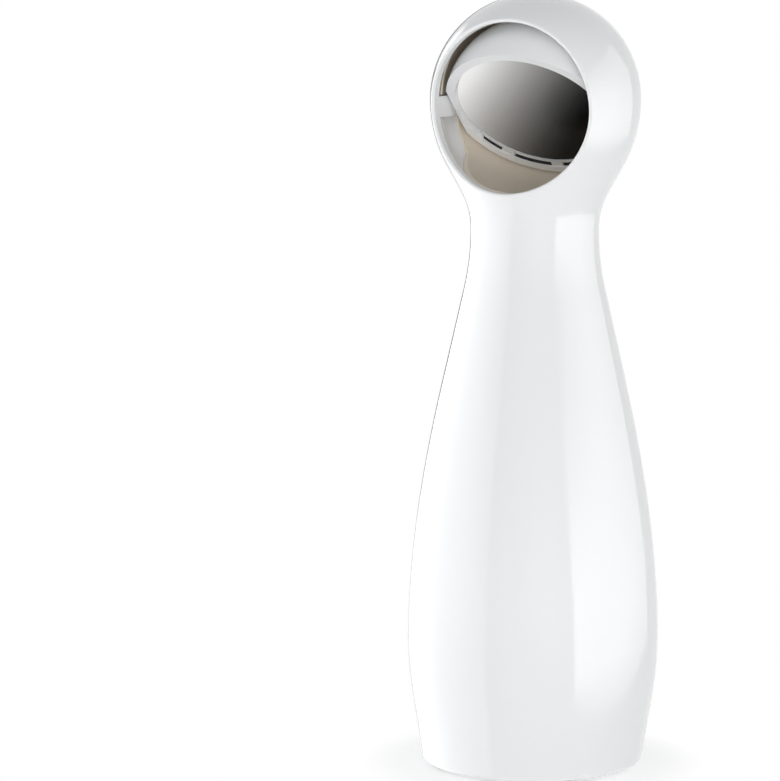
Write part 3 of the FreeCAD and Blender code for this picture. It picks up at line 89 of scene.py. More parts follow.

# The mirror, the reflection painted over it, and the slot under it between the clip's tabs, whose
# dark strips are painted shade
PIVOT = (0.0, 0.0, 0.1846)                # middle of the mirror's tilt axis
MIRROR_NORMAL = (0.0, -0.682, -0.731)     # out of the mirror's face
MIRROR_SLOPE = (0.0, -0.731, 0.682)       # up its face
PAINTED_REFLECTION_AXIS = (-0.80, -0.439, 0.409)       # across its face, towards the edge where its painted reflection is white
PAINTED_REFLECTION_START, PAINTED_REFLECTION_END = 60.5, 97.5       # mm along that axis, from none of the painted reflection to all of it
PAINTED_REFLECTION_FALL = 1.9                          # power by which the painted reflection thins
SLOT_SHIFT = -0.45                        # mm up the face, from the pivot to the slot's middle
SLOT_FLOOR = -0.65                        # mm out of the face, from the pivot to the slot's floor
SLOT_SPANS = ((-60.0, -42.8), (-33.2, -4.8), (4.8, 33.2), (42.8, 60.0))   # degrees

# Small pieces
BARE_END, BAND_END = 1.3, 9.0    # mm from a cell's ends to where its film and its pale band end
SHARP_ANGLE = 0.55               # radians between two faces past which their edge is sharp
THREADED = 0.85                  # share of a screw's shank that has a thread
RING_SHARES = (0.4, 0.72)        # radii of the rings under a foot, as shares of its own


# ------------------------------------------------------------------ colours and nodes
def linear(colour):
    """Linear RGBA of an sRGB hex colour."""
    channels = [int(colour[i:i + 2], 16) / 255 for i in (1, 3, 5)]
    return (*(c / 12.92 if c <= 0.04045 else ((c + 0.055) / 1.055) ** 2.4 for c in channels), 1.0)


def add(tree, kind, inputs=None, **settings):
    """Add a node with its settings. Each input is filled with a value, or linked from a socket or
    a node, or from each one of a list; a node gives its first live output."""
    node = tree.nodes.new(kind)
    for name, value in settings.items():
        setattr(node, name, value)
    for key, value in (inputs or {}).items():
        for source in value if isinstance(value, list) else [value]:
            if isinstance(source, bpy.types.Node):
                source = next(output for output in source.outputs if output.enabled)
            if isinstance(source, bpy.types.NodeSocket):
                tree.links.new(source, node.inputs[key])
            else:
                node.inputs[key].default_value = source
    return node


# ------------------------------------------------------------------ finishes
# Each one adds its pattern to a material's tree, on the piece's own coordinates in millimetres,
# and returns what goes into the shader's sockets. A pattern's scale is one over its real spacing
# in millimetres, and a bump's distance is its full height.
def gloss_abs(tree, mm, colour):
    """High-gloss ABS from a polished mould: sharp reflections that waver a little over each
    centimetre, with a dusting too fine to see except in the sheen."""
    flow = add(tree, "ShaderNodeTexNoise", {"Vector": mm, "Scale": 1 / 14, "Detail": 1.0})
    dust = add(tree, "ShaderNodeTexNoise", {"Vector": mm, "Scale": 1 / 0.8, "Detail": 3.0})
    sheen = add(tree, "ShaderNodeMapRange", {"Value": dust, "To Min": 0.06, "To Max": 0.14})
    waver = add(tree, "ShaderNodeBump", {"Height": flow, "Distance": 0.02 * MM})
    return {"Base Color": colour, "Roughness": sheen, "IOR": 1.54, "Normal": waver}


def satin_abs(tree, mm, colour):
    """Satin ABS from a spark-eroded mould: a fine even grain of about 0.4 mm."""
    grain = add(tree, "ShaderNodeTexNoise", {"Vector": mm, "Scale": 1 / 0.4, "Detail": 2.0})
    cloud = add(tree, "ShaderNodeTexNoise", {"Vector": mm, "Scale": 1 / 9, "Detail": 2.0})
    sheen = add(tree, "ShaderNodeMapRange", {"Value": cloud, "To Min": 0.34, "To Max": 0.5})
    eroded = add(tree, "ShaderNodeBump", {"Height": grain, "Distance": 0.012 * MM})
    return {"Base Color": colour, "Roughness": sheen, "IOR": 1.54, "Normal": eroded}


def wool_felt(tree, mm, colour, pale):
    """Pressed wool felt: matt, mottled, with loose fibres about 0.3 mm apart."""
    fibre = add(tree, "ShaderNodeTexNoise", {"Vector": mm, "Scale": 1 / 0.3, "Detail": 4.0})
    mottled = add(tree, "ShaderNodeMix", {"Factor": fibre, "A": colour, "B": linear(pale)},
                  data_type="RGBA")
    loose = add(tree, "ShaderNodeBump", {"Height": fibre, "Distance": 0.15 * MM})
    return {"Base Color": mottled, "Roughness": 0.95, "IOR": 1.5, "Normal": loose}


def moulded_rubber(tree, mm, colour, scuffed):
    """Moulded rubber: dark, matt, with a pebbled skin and pale scuffs."""
    pebble = add(tree, "ShaderNodeTexVoronoi", {"Vector": mm, "Scale": 1 / 0.5})
    scuff = add(tree, "ShaderNodeTexNoise", {"Vector": mm, "Scale": 1 / 2.5, "Detail": 4.0})
    share = add(tree, "ShaderNodeMapRange", {"Value": scuff, "To Min": -0.6, "To Max": 1.0})
    skin = add(tree, "ShaderNodeMix", {"Factor": share, "A": colour, "B": linear(scuffed)},
               data_type="RGBA")
    pebbled = add(tree, "ShaderNodeBump", {"Height": pebble, "Distance": 0.03 * MM})
    return {"Base Color": skin, "Roughness": 0.75, "IOR": 1.52, "Normal": pebbled}


def plated_metal(tree, mm, colour, roughness, grain, clouded):
    """Plated or rolled metal: clean colour with clouded gloss and fine grain, in mm."""
    cloud = add(tree, "ShaderNodeTexNoise", {"Vector": mm, "Scale": 1 / (8 * grain), "Detail": 4.0})
    fine = add(tree, "ShaderNodeTexNoise", {"Vector": mm, "Scale": 1 / grain, "Detail": 2.0})
    sheen = add(tree, "ShaderNodeMapRange", {"Value": cloud, "To Min": roughness * 0.7,
                                             "To Max": roughness * 1.4})
    share = add(tree, "ShaderNodeMapRange", {"Value": cloud, "To Min": -0.3, "To Max": 1.1})
    plate = add(tree, "ShaderNodeMix", {"Factor": share, "A": colour, "B": linear(clouded)},
                data_type="RGBA")
    rolled = add(tree, "ShaderNodeBump", {"Height": fine, "Distance": 0.004 * MM})
    return {"Base Color": plate, "Metallic": 1.0, "Roughness": sheen, "Normal": rolled}


def turned_brass(tree, mm, colour, crest):
    """Brass turned on a lathe: rings about 0.2 mm apart along the piece's length."""
    rings = add(tree, "ShaderNodeTexWave", {"Vector": mm, "Scale": 0.32 / 0.2, "Distortion": 0.6},
                bands_direction="Z").outputs["Fac"]
    ringed = add(tree, "ShaderNodeMix", {"Factor": rings, "A": colour, "B": linear(crest)},
                 data_type="RGBA")
    cut = add(tree, "ShaderNodeBump", {"Height": rings, "Distance": 0.006 * MM})
    return {"Base Color": ringed, "Metallic": 1.0, "Roughness": 0.28, "Normal": cut}


def cast_block(tree, mm, colour, light):
    """Pressed or cast grey metal and ferrite: dark, grainy and barely shiny."""
    grain = add(tree, "ShaderNodeTexNoise", {"Vector": mm, "Scale": 1 / 0.35, "Detail": 5.0})
    grey = add(tree, "ShaderNodeMix", {"Factor": grain, "A": colour, "B": linear(light)},
               data_type="RGBA")
    rough = add(tree, "ShaderNodeBump", {"Height": grain, "Distance": 0.03 * MM})
    return {"Base Color": grey, "Metallic": 0.4, "Roughness": 0.55, "Normal": rough}


def acetal(tree, mm, colour, pale):
    """Natural acetal: waxy off-white with soft flow clouds."""
    flow = add(tree, "ShaderNodeTexNoise", {"Vector": mm, "Scale": 1 / 3, "Detail": 3.0})
    waxy = add(tree, "ShaderNodeMix", {"Factor": flow, "A": colour, "B": linear(pale)},
               data_type="RGBA")
    clouds = add(tree, "ShaderNodeBump", {"Height": flow, "Distance": 0.01 * MM})
    return {"Base Color": waxy, "Roughness": 0.35, "IOR": 1.48, "Normal": clouds}


def clear_acrylic(tree, mm, colour):
    """Polished acrylic: clear, with edges that show faint machining haze."""
    haze = add(tree, "ShaderNodeTexNoise", {"Vector": mm, "Scale": 1 / 1.5, "Detail": 2.0})
    sheen = add(tree, "ShaderNodeMapRange", {"Value": haze, "To Min": 0.02, "To Max": 0.08})
    return {"Base Color": colour, "Roughness": sheen, "IOR": 1.49, "Transmission Weight": 1.0}


def silvered_glass(tree, mm, colour, painted_white, glow):
    """Mirror glass silvered on its back, with a reflection painted over it: its colour is white
    with a faint painted glow at its upper left edge, and black past its middle, where it is a dim
    mirror; faint wiping marks in the gloss."""
    # Painted reflection and painted glow: haze here is the share of a painted white reflection,
    # with a faint painted glow, towards the upper left edge; past the middle the face is black
    along = add(tree, "ShaderNodeVectorMath", {0: mm, 1: PAINTED_REFLECTION_AXIS}, operation="DOT_PRODUCT")
    haze = add(tree, "ShaderNodeMapRange", {"Value": along, "From Min": PAINTED_REFLECTION_START,
                                            "From Max": PAINTED_REFLECTION_END})
    fall = add(tree, "ShaderNodeMath", {0: haze, 1: PAINTED_REFLECTION_FALL}, operation="POWER")
    face = add(tree, "ShaderNodeMix", {"Factor": fall, "A": colour, "B": linear(painted_white)},
               data_type="RGBA")
    light = add(tree, "ShaderNodeMapRange", {"Value": fall, "To Min": 0.0, "To Max": 0.22})
    bare = add(tree, "ShaderNodeMapRange", {"Value": haze, "To Min": 0.6, "To Max": 0.0})
    wipe = add(tree, "ShaderNodeTexNoise", {"Vector": mm, "Scale": 1 / 7, "Detail": 3.0})
    sheen = add(tree, "ShaderNodeMapRange", {"Value": wipe, "To Min": 0.16, "To Max": 0.26})
    return {"Base Color": face, "Metallic": bare, "Roughness": sheen,
            "Emission Color": linear(glow), "Emission Strength": light}


def solder_mask(tree, mm, colour, track):
    """Green solder mask over copper tracks about 1.2 mm apart, which show as paler lines."""
    edge = add(tree, "ShaderNodeTexVoronoi", {"Vector": mm, "Scale": 1 / 2.4},
               feature="DISTANCE_TO_EDGE")
    line = add(tree, "ShaderNodeMapRange", {"Value": edge, "From Min": 0.09, "From Max": 0.13,
                                            "To Min": 1.0, "To Max": 0.0})
    mask = add(tree, "ShaderNodeMix", {"Factor": line, "A": colour, "B": linear(track)},
               data_type="RGBA")
    raised = add(tree, "ShaderNodeBump", {"Height": line, "Distance": 0.035 * MM})
    return {"Base Color": mask, "Roughness": 0.3, "IOR": 1.5, "Normal": raised}


def shrink_wrap(tree, mm, colour, band, nickel):
    """Plain shrink film round a cell, glossy and faintly puckered, with a pale band near each end
    and the cell's bare nickel-plated ends."""
    low, high = [corner[2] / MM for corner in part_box("battery_1")]
    half = (high - low) / 2
    up = add(tree, "ShaderNodeSeparateXYZ", {0: mm}).outputs["Z"]
    off = add(tree, "ShaderNodeMath", {0: up, 1: (low + high) / 2}, operation="SUBTRACT")
    off = add(tree, "ShaderNodeMath", {0: off}, operation="ABSOLUTE")
    bare = add(tree, "ShaderNodeMath", {0: off, 1: half - BARE_END}, operation="GREATER_THAN")
    banded = add(tree, "ShaderNodeMath", {0: off, 1: half - BAND_END}, operation="GREATER_THAN")
    film = add(tree, "ShaderNodeMix", {"Factor": banded, "A": colour, "B": linear(band)},
               data_type="RGBA")
    cell = add(tree, "ShaderNodeMix", {"Factor": bare, "A": film, "B": linear(nickel)},
               data_type="RGBA")
    pucker = add(tree, "ShaderNodeTexNoise", {"Vector": mm, "Scale": 1 / 2.2, "Detail": 2.0})
    shrunk = add(tree, "ShaderNodeBump", {"Height": pucker, "Distance": 0.05 * MM})
    return {"Base Color": cell, "Metallic": bare, "Roughness": 0.24, "IOR": 1.5,
            "Normal": shrunk}


# Slot in the record: its material's name, main colour and finish, and the finish's other figures
FINISHES = {
    # Bright mouldings that are seen and touched
    "shell_abs": ("white_gloss_abs", "#F8F9FA", gloss_abs),
    "button_abs": ("pale_grey_gloss_abs", "#DFE1E4", gloss_abs),
    # Dull, even mouldings: the frame inside, the bowl, and the cases of small parts
    "inner_abs": ("natural_satin_abs", "#D9DADB", satin_abs),
    # The bowl's warm grey is painted shade: darker and warmer than the white ABS, for the shade
    # deep in the head
    "bowl_abs": ("warm_grey_satin_abs", "#EBE0CF", satin_abs),
    "black_plastic": ("black_moulded_plastic", "#1C1D1F", satin_abs),
    # Matt and soft
    "feet_rubber": ("black_rubber", "#2B2B2D", moulded_rubber, "#4A4A4D"),
    "felt": ("undyed_wool_felt", "#B4B2AD", wool_felt, "#DEDCD6"),
    # Metals, from bright plating to dark, grainy blocks
    "screw_steel": ("zinc_plated_steel", "#B9BCC0", plated_metal, 0.3, 0.15, "#D3D5D2"),
    "contact_nickel": ("nickel_plated_steel", "#C9CBCC", plated_metal, 0.18, 0.2, "#DAD8D2"),
    "capacitor_aluminium": ("bare_aluminium", "#C3C6CA", plated_metal, 0.25, 0.2, "#D9DBDD"),
    "motor_steel": ("plated_motor_steel", "#A9ACB0", plated_metal, 0.32, 0.2, "#C2C3C0"),
    "brass": ("turned_brass", "#B5A05A", turned_brass, "#C8B36C"),
    "magnet_ferrite": ("grey_ferrite", "#3A3B3D", cast_block, "#4E4F52"),
    "iron_core": ("stacked_iron", "#5A5C5F", cast_block, "#74767A"),
    # Printed, wrapped, waxy and clear
    "cell_wrap": ("dark_shrink_wrap", "#3C4148", shrink_wrap, "#9AA3A8", "#C9CBCC"),
    "board_green": ("green_solder_mask", "#1F5A3A", solder_mask, "#3C8A5C"),
    "gear_acetal": ("natural_acetal", "#DFE0DF", acetal, "#F1F2F1"),
    "clear_acrylic": ("polished_acrylic", "#F6F8F8", clear_acrylic),
    "smoked_acrylic": ("smoked_acrylic", "#26262A", clear_acrylic),
    # The mirror's black and white colours and its glow are a painted reflection and painted light
    "mirror_glass": ("silvered_glass", "#060607", silvered_glass, "#FFFFFF", "#FFFDFB"),
}
MADE = {}                    # slots whose material is already made


def finish(slot):
    """The material of a slot, made the first time that it is asked for, in the colour that the
    scene's finish colours give it."""
    if slot not in MADE:
        name, _, make, *figures = FINISHES[slot]
        material = MADE[slot] = bpy.data.materials.new(name)
        material.use_nodes = True
        tree = material.node_tree
        tree.nodes.clear()
        place = add(tree, "ShaderNodeTexCoord").outputs["Object"]
        mm = add(tree, "ShaderNodeVectorMath", {0: place, "Scale": 1 / MM}, operation="SCALE")
        colour = tuple(getattr(bpy.context.scene.toy_colours, slot))
        shader = add(tree, "ShaderNodeBsdfPrincipled", make(tree, mm, colour, *figures))
        add(tree, "ShaderNodeOutputMaterial", {"Surface": shader})
    return MADE[slot]


def dress(*names):
    """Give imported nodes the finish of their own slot."""
    slots = {part["node"]: part["material_slot"] for part in frame["record"]["subparts"]}
    for name in names:
        for place in NODES[name].material_slots:
            place.material = finish(slots[name])


# ------------------------------------------------------------------ places read from the solids
def islands(name):
    """The corners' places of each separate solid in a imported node, in metres."""
    mesh = NODES[name].data
    places = np.empty(len(mesh.vertices) * 3)
    mesh.vertices.foreach_get("co", places)
    corners = np.empty(len(mesh.loops), int)
    mesh.loops.foreach_get("vertex_index", corners)
    spots, which = np.unique(places.reshape(-1, 3).round(7), axis=0, return_inverse=True)
    triangles = which.reshape(-1)[corners].reshape(-1, 3)
    label = np.arange(len(spots))
    while True:
        joined = label.copy()
        np.minimum.at(joined, triangles, label[triangles].min(axis=1)[:, None])
        joined = joined[joined]
        if (joined == label).all():
            return [spots[label == k] for k in np.unique(label)]
        label = joined


def screw_places(name):
    """Where each screw of a node sits: the point under its head, the direction out of the head,
    the head's radius and height, and the length under the head."""
    screws = []
    for spots in islands(name):
        low, high = spots.min(axis=0), spots.max(axis=0)
        along = int(np.argmax(high - low))
        off = np.linalg.norm(np.delete(spots - (low + high) / 2, along, axis=1), axis=1)
        rim = spots[off > 0.98 * off.max(), along]
        out = 1 if rim.mean() > (low + high)[along] / 2 else -1
        top, tip = (high, low) if out > 0 else (low, high)
        seat = (low + high) / 2
        seat[along] = rim.min() if out > 0 else rim.max()
        axis = np.zeros(3)
        axis[along] = out
        screws.append((seat, axis, off.max(), abs(top[along] - seat[along]),
                       abs(tip[along] - seat[along])))
    return screws


# ------------------------------------------------------------------ pieces that repeat
def start_tree(name, **sizes):
    """A Geometry Nodes tree with points, a material and sizes in metres as its inputs. Returns
    the tree and its input sockets."""
    tree = bpy.data.node_groups.new(name, "GeometryNodeTree")
    face = tree.interface
    face.new_socket("Pieces", in_out="OUTPUT", socket_type="NodeSocketGeometry")
    face.new_socket("Points", in_out="INPUT", socket_type="NodeSocketGeometry")
    face.new_socket("Material", in_out="INPUT", socket_type="NodeSocketMaterial")
    for key, value in sizes.items():
        socket = face.new_socket(key.replace("_", " "), in_out="INPUT",
                                 socket_type="NodeSocketFloat")
        socket.default_value = value
    return tree, add(tree, "NodeGroupInput").outputs


def end_tree(tree, inputs, piece):
    """Stand the piece on every point, along the point's axis, smooth but for its sharp edges, and
    give it its material."""
    axis = add(tree, "GeometryNodeInputNamedAttribute", {"Name": "axis"}, data_type="FLOAT_VECTOR")
    turn = add(tree, "FunctionNodeAlignRotationToVector", {"Vector": axis}, axis="Z")
    smooth = add(tree, "GeometryNodeSetShadeSmooth", {0: piece})
    bend = add(tree, "GeometryNodeInputMeshEdgeAngle")
    sharp = add(tree, "FunctionNodeCompare", {"A": bend, "B": SHARP_ANGLE},
                operation="GREATER_THAN")
    creased = add(tree, "GeometryNodeSetShadeSmooth", {
        "Geometry": smooth, "Selection": sharp, "Shade Smooth": False}, domain="EDGE")
    stood = add(tree, "GeometryNodeInstanceOnPoints", {
        "Points": inputs["Points"], "Instance": creased, "Rotation": turn})
    real = add(tree, "GeometryNodeRealizeInstances", {0: stood})
    dressed = add(tree, "GeometryNodeSetMaterial", {
        "Geometry": real, "Material": inputs["Material"]})
    add(tree, "NodeGroupOutput", {0: dressed})
    return tree


def domed_disc(tree, radius, height, segments, rings, roundness):
    """A ball squared into a disc of a radius and half-height; the lower the roundness, the
    sharper its edge. Returns its mesh."""
    ball = add(tree, "GeometryNodeMeshUVSphere", {"Segments": segments, "Rings": rings,
                                                  "Radius": 1.0})
    place = add(tree, "GeometryNodeInputPosition")
    axis = add(tree, "ShaderNodeSeparateXYZ", {0: place}).outputs["Z"]
    flat = add(tree, "ShaderNodeVectorMath", {0: place, 1: (1.0, 1.0, 0.0)}, operation="MULTIPLY")
    length = add(tree, "ShaderNodeVectorMath", {0: flat}, operation="LENGTH")
    away = add(tree, "ShaderNodeVectorMath", {0: flat}, operation="NORMALIZE")
    reach = add(tree, "ShaderNodeMath", {0: length, 1: roundness}, operation="POWER")
    reach = add(tree, "ShaderNodeMath", {0: reach, 1: radius}, operation="MULTIPLY")
    lift = add(tree, "ShaderNodeMath", {0: axis}, operation="ABSOLUTE")
    lift = add(tree, "ShaderNodeMath", {0: lift, 1: roundness}, operation="POWER")
    lift = add(tree, "ShaderNodeMath", {0: lift, 1: height}, operation="MULTIPLY")
    side = add(tree, "ShaderNodeMath", {0: axis}, operation="SIGN")
    lift = add(tree, "ShaderNodeMath", {0: lift, 1: side}, operation="MULTIPLY")
    out = add(tree, "ShaderNodeVectorMath", {0: away, "Scale": reach}, operation="SCALE")
    rise = add(tree, "ShaderNodeCombineXYZ", {2: lift})
    spot = add(tree, "ShaderNodeVectorMath", {0: out, 1: rise}, operation="ADD")
    return add(tree, "GeometryNodeSetPosition", {"Geometry": ball, "Position": spot})


def screw_tree():
    """Pan-head screw: rounded head with a cross recess, core with a cut thread and a point."""
    tree, inputs = start_tree("pan_head_screw", Head_Radius=0.0024, Head_Height=0.0016,
                              Thread_Radius=0.0012, Length=0.01, Pitch=0.001)
    # The recess's depth, width and reach, then the core, its point and the thread's ridge
    deep, wide, long, core_radius, shank, tip, ridge = [
        add(tree, "ShaderNodeMath", {0: inputs[size], 1: share}, operation="MULTIPLY")
        for size, share in (("Head Height", 0.9), ("Head Radius", 0.26), ("Head Radius", 1.1),
                            ("Thread Radius", 0.78), ("Length", 0.82), ("Length", 0.18),
                            ("Thread Radius", 0.2))]
    dome = domed_disc(tree, inputs["Head Radius"], inputs["Head Height"], segments=40, rings=24,
                      roundness=0.45)
    block = add(tree, "GeometryNodeMeshCube", {"Size": (0.02, 0.02, 0.02)})
    cuts = [add(tree, "GeometryNodeTransform", {"Geometry": block,
                                                "Translation": (0.0, 0.0, -0.01)})]
    top = add(tree, "ShaderNodeCombineXYZ", {2: inputs["Head Height"]})
    for x, y in ((long, wide), (wide, long)):
        size = add(tree, "ShaderNodeCombineXYZ", {0: x, 1: y, 2: deep})
        blade = add(tree, "GeometryNodeMeshCube", {"Size": size})
        cuts.append(add(tree, "GeometryNodeTransform", {"Geometry": blade, "Translation": top}))
    head = add(tree, "GeometryNodeMeshBoolean", {"Mesh 1": dome, "Mesh 2": cuts},
               operation="DIFFERENCE")
    middle = add(tree, "ShaderNodeMath", {0: shank, 1: -0.5}, operation="MULTIPLY")
    end = add(tree, "ShaderNodeMath", {0: shank, 1: -1.0}, operation="MULTIPLY")
    middle_at = add(tree, "ShaderNodeCombineXYZ", {2: middle})
    end_at = add(tree, "ShaderNodeCombineXYZ", {2: end})
    core = add(tree, "GeometryNodeMeshCylinder", {"Vertices": 24, "Radius": core_radius,
                                                  "Depth": shank})
    core = add(tree, "GeometryNodeTransform", {"Geometry": core, "Translation": middle_at})
    point = add(tree, "GeometryNodeMeshCone", {"Vertices": 24, "Radius Top": 0.0001,
                                               "Radius Bottom": core_radius, "Depth": tip})
    point = add(tree, "GeometryNodeTransform", {"Geometry": point, "Translation": end_at,
                                                "Rotation": (math.pi, 0.0, 0.0)})
    turns = add(tree, "ShaderNodeMath", {0: shank, 1: inputs["Pitch"]}, operation="DIVIDE")
    turns = add(tree, "ShaderNodeMath", {0: turns, 1: THREADED}, operation="MULTIPLY")
    run = add(tree, "ShaderNodeMath", {0: shank, 1: THREADED}, operation="MULTIPLY")
    crest = add(tree, "ShaderNodeMath", {0: inputs["Thread Radius"], 1: ridge},
                operation="SUBTRACT")
    helix = add(tree, "GeometryNodeCurveSpiral", {
        "Resolution": 20, "Rotations": turns, "Start Radius": crest, "End Radius": crest,
        "Height": run})
    helix = add(tree, "GeometryNodeTransform", {"Geometry": helix, "Translation": end_at})
    wedge = add(tree, "GeometryNodeCurvePrimitiveCircle", {"Resolution": 4, "Radius": ridge})
    thread = add(tree, "GeometryNodeCurveToMesh", {"Curve": helix, "Profile Curve": wedge,
                                                   "Fill Caps": True})
    whole = add(tree, "GeometryNodeJoinGeometry", {0: [head, core, point, thread]})
    return end_tree(tree, inputs, whole)


def spring_tree():
    """Compression spring of round wire whose end turns lie flat."""
    tree, inputs = start_tree("contact_spring", Radius=0.003625, Height=0.0038,
                              Wire_Radius=0.0004, Turns=3.0)
    wire = add(tree, "GeometryNodeCurvePrimitiveCircle", {"Resolution": 12,
                                                          "Radius": inputs["Wire Radius"]})
    across = add(tree, "ShaderNodeMath", {0: inputs["Wire Radius"], 1: 2.0}, operation="MULTIPLY")
    rise = add(tree, "ShaderNodeMath", {0: inputs["Height"], 1: across}, operation="SUBTRACT")
    top = add(tree, "ShaderNodeMath", {0: rise, 1: inputs["Wire Radius"]}, operation="ADD")
    low = add(tree, "ShaderNodeCombineXYZ", {2: inputs["Wire Radius"]})
    high = add(tree, "ShaderNodeCombineXYZ", {2: top})
    helix = add(tree, "GeometryNodeCurveSpiral", {
        "Resolution": 40, "Rotations": inputs["Turns"], "Start Radius": inputs["Radius"],
        "End Radius": inputs["Radius"], "Height": rise})
    loop = add(tree, "GeometryNodeCurvePrimitiveCircle", {"Resolution": 60,
                                                          "Radius": inputs["Radius"]})
    curves = [add(tree, "GeometryNodeTransform", {"Geometry": curve, "Translation": at})
              for curve, at in ((helix, low), (loop, low), (loop, high))]
    path = add(tree, "GeometryNodeJoinGeometry", {0: curves})
    coil = add(tree, "GeometryNodeCurveToMesh", {"Curve": path, "Profile Curve": wire,
                                                 "Fill Caps": True})
    return end_tree(tree, inputs, coil)


def foot_tree():
    """Round rubber foot with a soft edge and two raised rings under it."""
    tree, inputs = start_tree("rubber_foot", Radius=0.004, Height=0.0024, Ring=0.0002)
    half = add(tree, "ShaderNodeMath", {0: inputs["Height"], 1: inputs["Ring"]},
               operation="SUBTRACT")
    half = add(tree, "ShaderNodeMath", {0: half, 1: 0.5}, operation="MULTIPLY")
    puck = domed_disc(tree, inputs["Radius"], half, segments=56, rings=32, roundness=0.3)
    middle = add(tree, "ShaderNodeMath", {0: half, 1: inputs["Ring"]}, operation="ADD")
    puck_at = add(tree, "ShaderNodeCombineXYZ", {2: middle})
    pieces = [add(tree, "GeometryNodeTransform", {"Geometry": puck, "Translation": puck_at})]
    bead = add(tree, "ShaderNodeMath", {0: inputs["Ring"], 1: 1.5}, operation="MULTIPLY")
    bead_at = add(tree, "ShaderNodeCombineXYZ", {2: bead})
    wire = add(tree, "GeometryNodeCurvePrimitiveCircle", {"Resolution": 10, "Radius": bead})
    for share in RING_SHARES:
        radius = add(tree, "ShaderNodeMath", {0: inputs["Radius"], 1: share},
                     operation="MULTIPLY")
        loop = add(tree, "GeometryNodeCurvePrimitiveCircle", {"Resolution": 56, "Radius": radius})
        loop = add(tree, "GeometryNodeTransform", {"Geometry": loop, "Translation": bead_at})
        pieces.append(add(tree, "GeometryNodeCurveToMesh", {"Curve": loop, "Profile Curve": wire}))
    return end_tree(tree, inputs, add(tree, "GeometryNodeJoinGeometry", {0: pieces}))


def shade_strip_tree(spans):
    """Dark strips that follow an arc, upright on its plane: painted shade in the slot under the
    mirror. The spans are the degrees from each strip's start to its end, from the arc's lowest
    point."""
    tree, inputs = start_tree("slot_lining", Radius=0.022, Thickness=0.00025, Depth=0.0029)
    across = add(tree, "GeometryNodeCurvePrimitiveQuadrilateral", {
        "Width": inputs["Thickness"], "Height": inputs["Depth"]})
    middle = add(tree, "ShaderNodeMath", {0: inputs["Depth"], 1: 0.5}, operation="MULTIPLY")
    lift = add(tree, "ShaderNodeCombineXYZ", {2: middle})
    arcs = [add(tree, "GeometryNodeCurveArc", {
        "Resolution": 40, "Radius": inputs["Radius"], "Start Angle": math.radians(start - 90),
        "Sweep Angle": math.radians(end - start)}) for start, end in spans]
    path = add(tree, "GeometryNodeJoinGeometry", {0: arcs})
    path = add(tree, "GeometryNodeTransform", {"Geometry": path, "Translation": lift})
    strips = add(tree, "GeometryNodeCurveToMesh", {"Curve": path, "Profile Curve": across,
                                                   "Fill Caps": True})
    return end_tree(tree, inputs, strips)


def grow(name, tree, places, axes, slot, body, node=None, **sizes):
    """Run a tree on points and keep the result as a plain mesh that rides a body. It stands for a
    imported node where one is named."""
    points = bpy.data.meshes.new(name)
    points.from_pydata([tuple(place) for place in places], [], [])
    ways = points.attributes.new("axis", "FLOAT_VECTOR", "POINT")
    ways.data.foreach_set("vector", np.ravel(axes))
    obj = bpy.data.objects.new(name, points)
    bpy.context.scene.collection.objects.link(obj)
    modifier = obj.modifiers.new(name, "NODES")
    modifier.node_group = tree
    values = {key.replace("_", " "): value for key, value in sizes.items()}
    values["Material"] = finish(slot)
    for item in tree.interface.items_tree:
        if item.in_out == "INPUT" and item.name in values:
            modifier[item.identifier] = values[item.name]
    evaluated = obj.evaluated_get(bpy.context.evaluated_depsgraph_get())
    plain = bpy.data.meshes.new_from_object(evaluated)
    obj.modifiers.clear()
    obj.data = plain
    if len(plain.polygons) == 0:
        raise RuntimeError(name + " came out empty")
    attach(obj, body)
    if node:
        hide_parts(node)


def grow_screws(name, body, thread_radius, pitch):
    """Detailed screws in the place of a node's plain ones."""
    screws = screw_places(name)
    _, _, head_radius, head_height, length = screws[0]
    grow(name + "_detailed", screw_tree(), [screw[0] for screw in screws],
         [screw[1] for screw in screws], "screw_steel", body, name, Head_Radius=head_radius,
         Head_Height=head_height, Thread_Radius=thread_radius, Length=length, Pitch=pitch)


def grow_springs(name, body, wire_radius, turns):
    """Springs of round wire in the place of a node's six-sided ones."""
    spots = islands(name)
    lows = [spot.min(axis=0) for spot in spots]
    highs = [spot.max(axis=0) for spot in spots]
    places = [((a[0] + b[0]) / 2, (a[1] + b[1]) / 2, a[2]) for a, b in zip(lows, highs)]
    radius = (highs[0][0] - lows[0][0]) / 2 - wire_radius
    grow(name + "_wound", spring_tree(), places, [(0, 0, 1)] * len(places), "contact_nickel",
         body, name, Radius=radius, Height=highs[0][2] - lows[0][2], Wire_Radius=wire_radius,
         Turns=turns)


# ------------------------------------------------------------------ stage
def stand(name, data, azimuth, distance, height):
    """A new camera or lamp on a circle round the toy's axis, at degrees from straight in front."""
    obj = bpy.data.objects.new(name, data)
    bpy.context.scene.collection.objects.link(obj)
    angle = math.radians(azimuth)
    obj.location = (distance * math.sin(angle), -distance * math.cos(angle), height)
    obj.rotation_mode = "QUATERNION"
    return obj


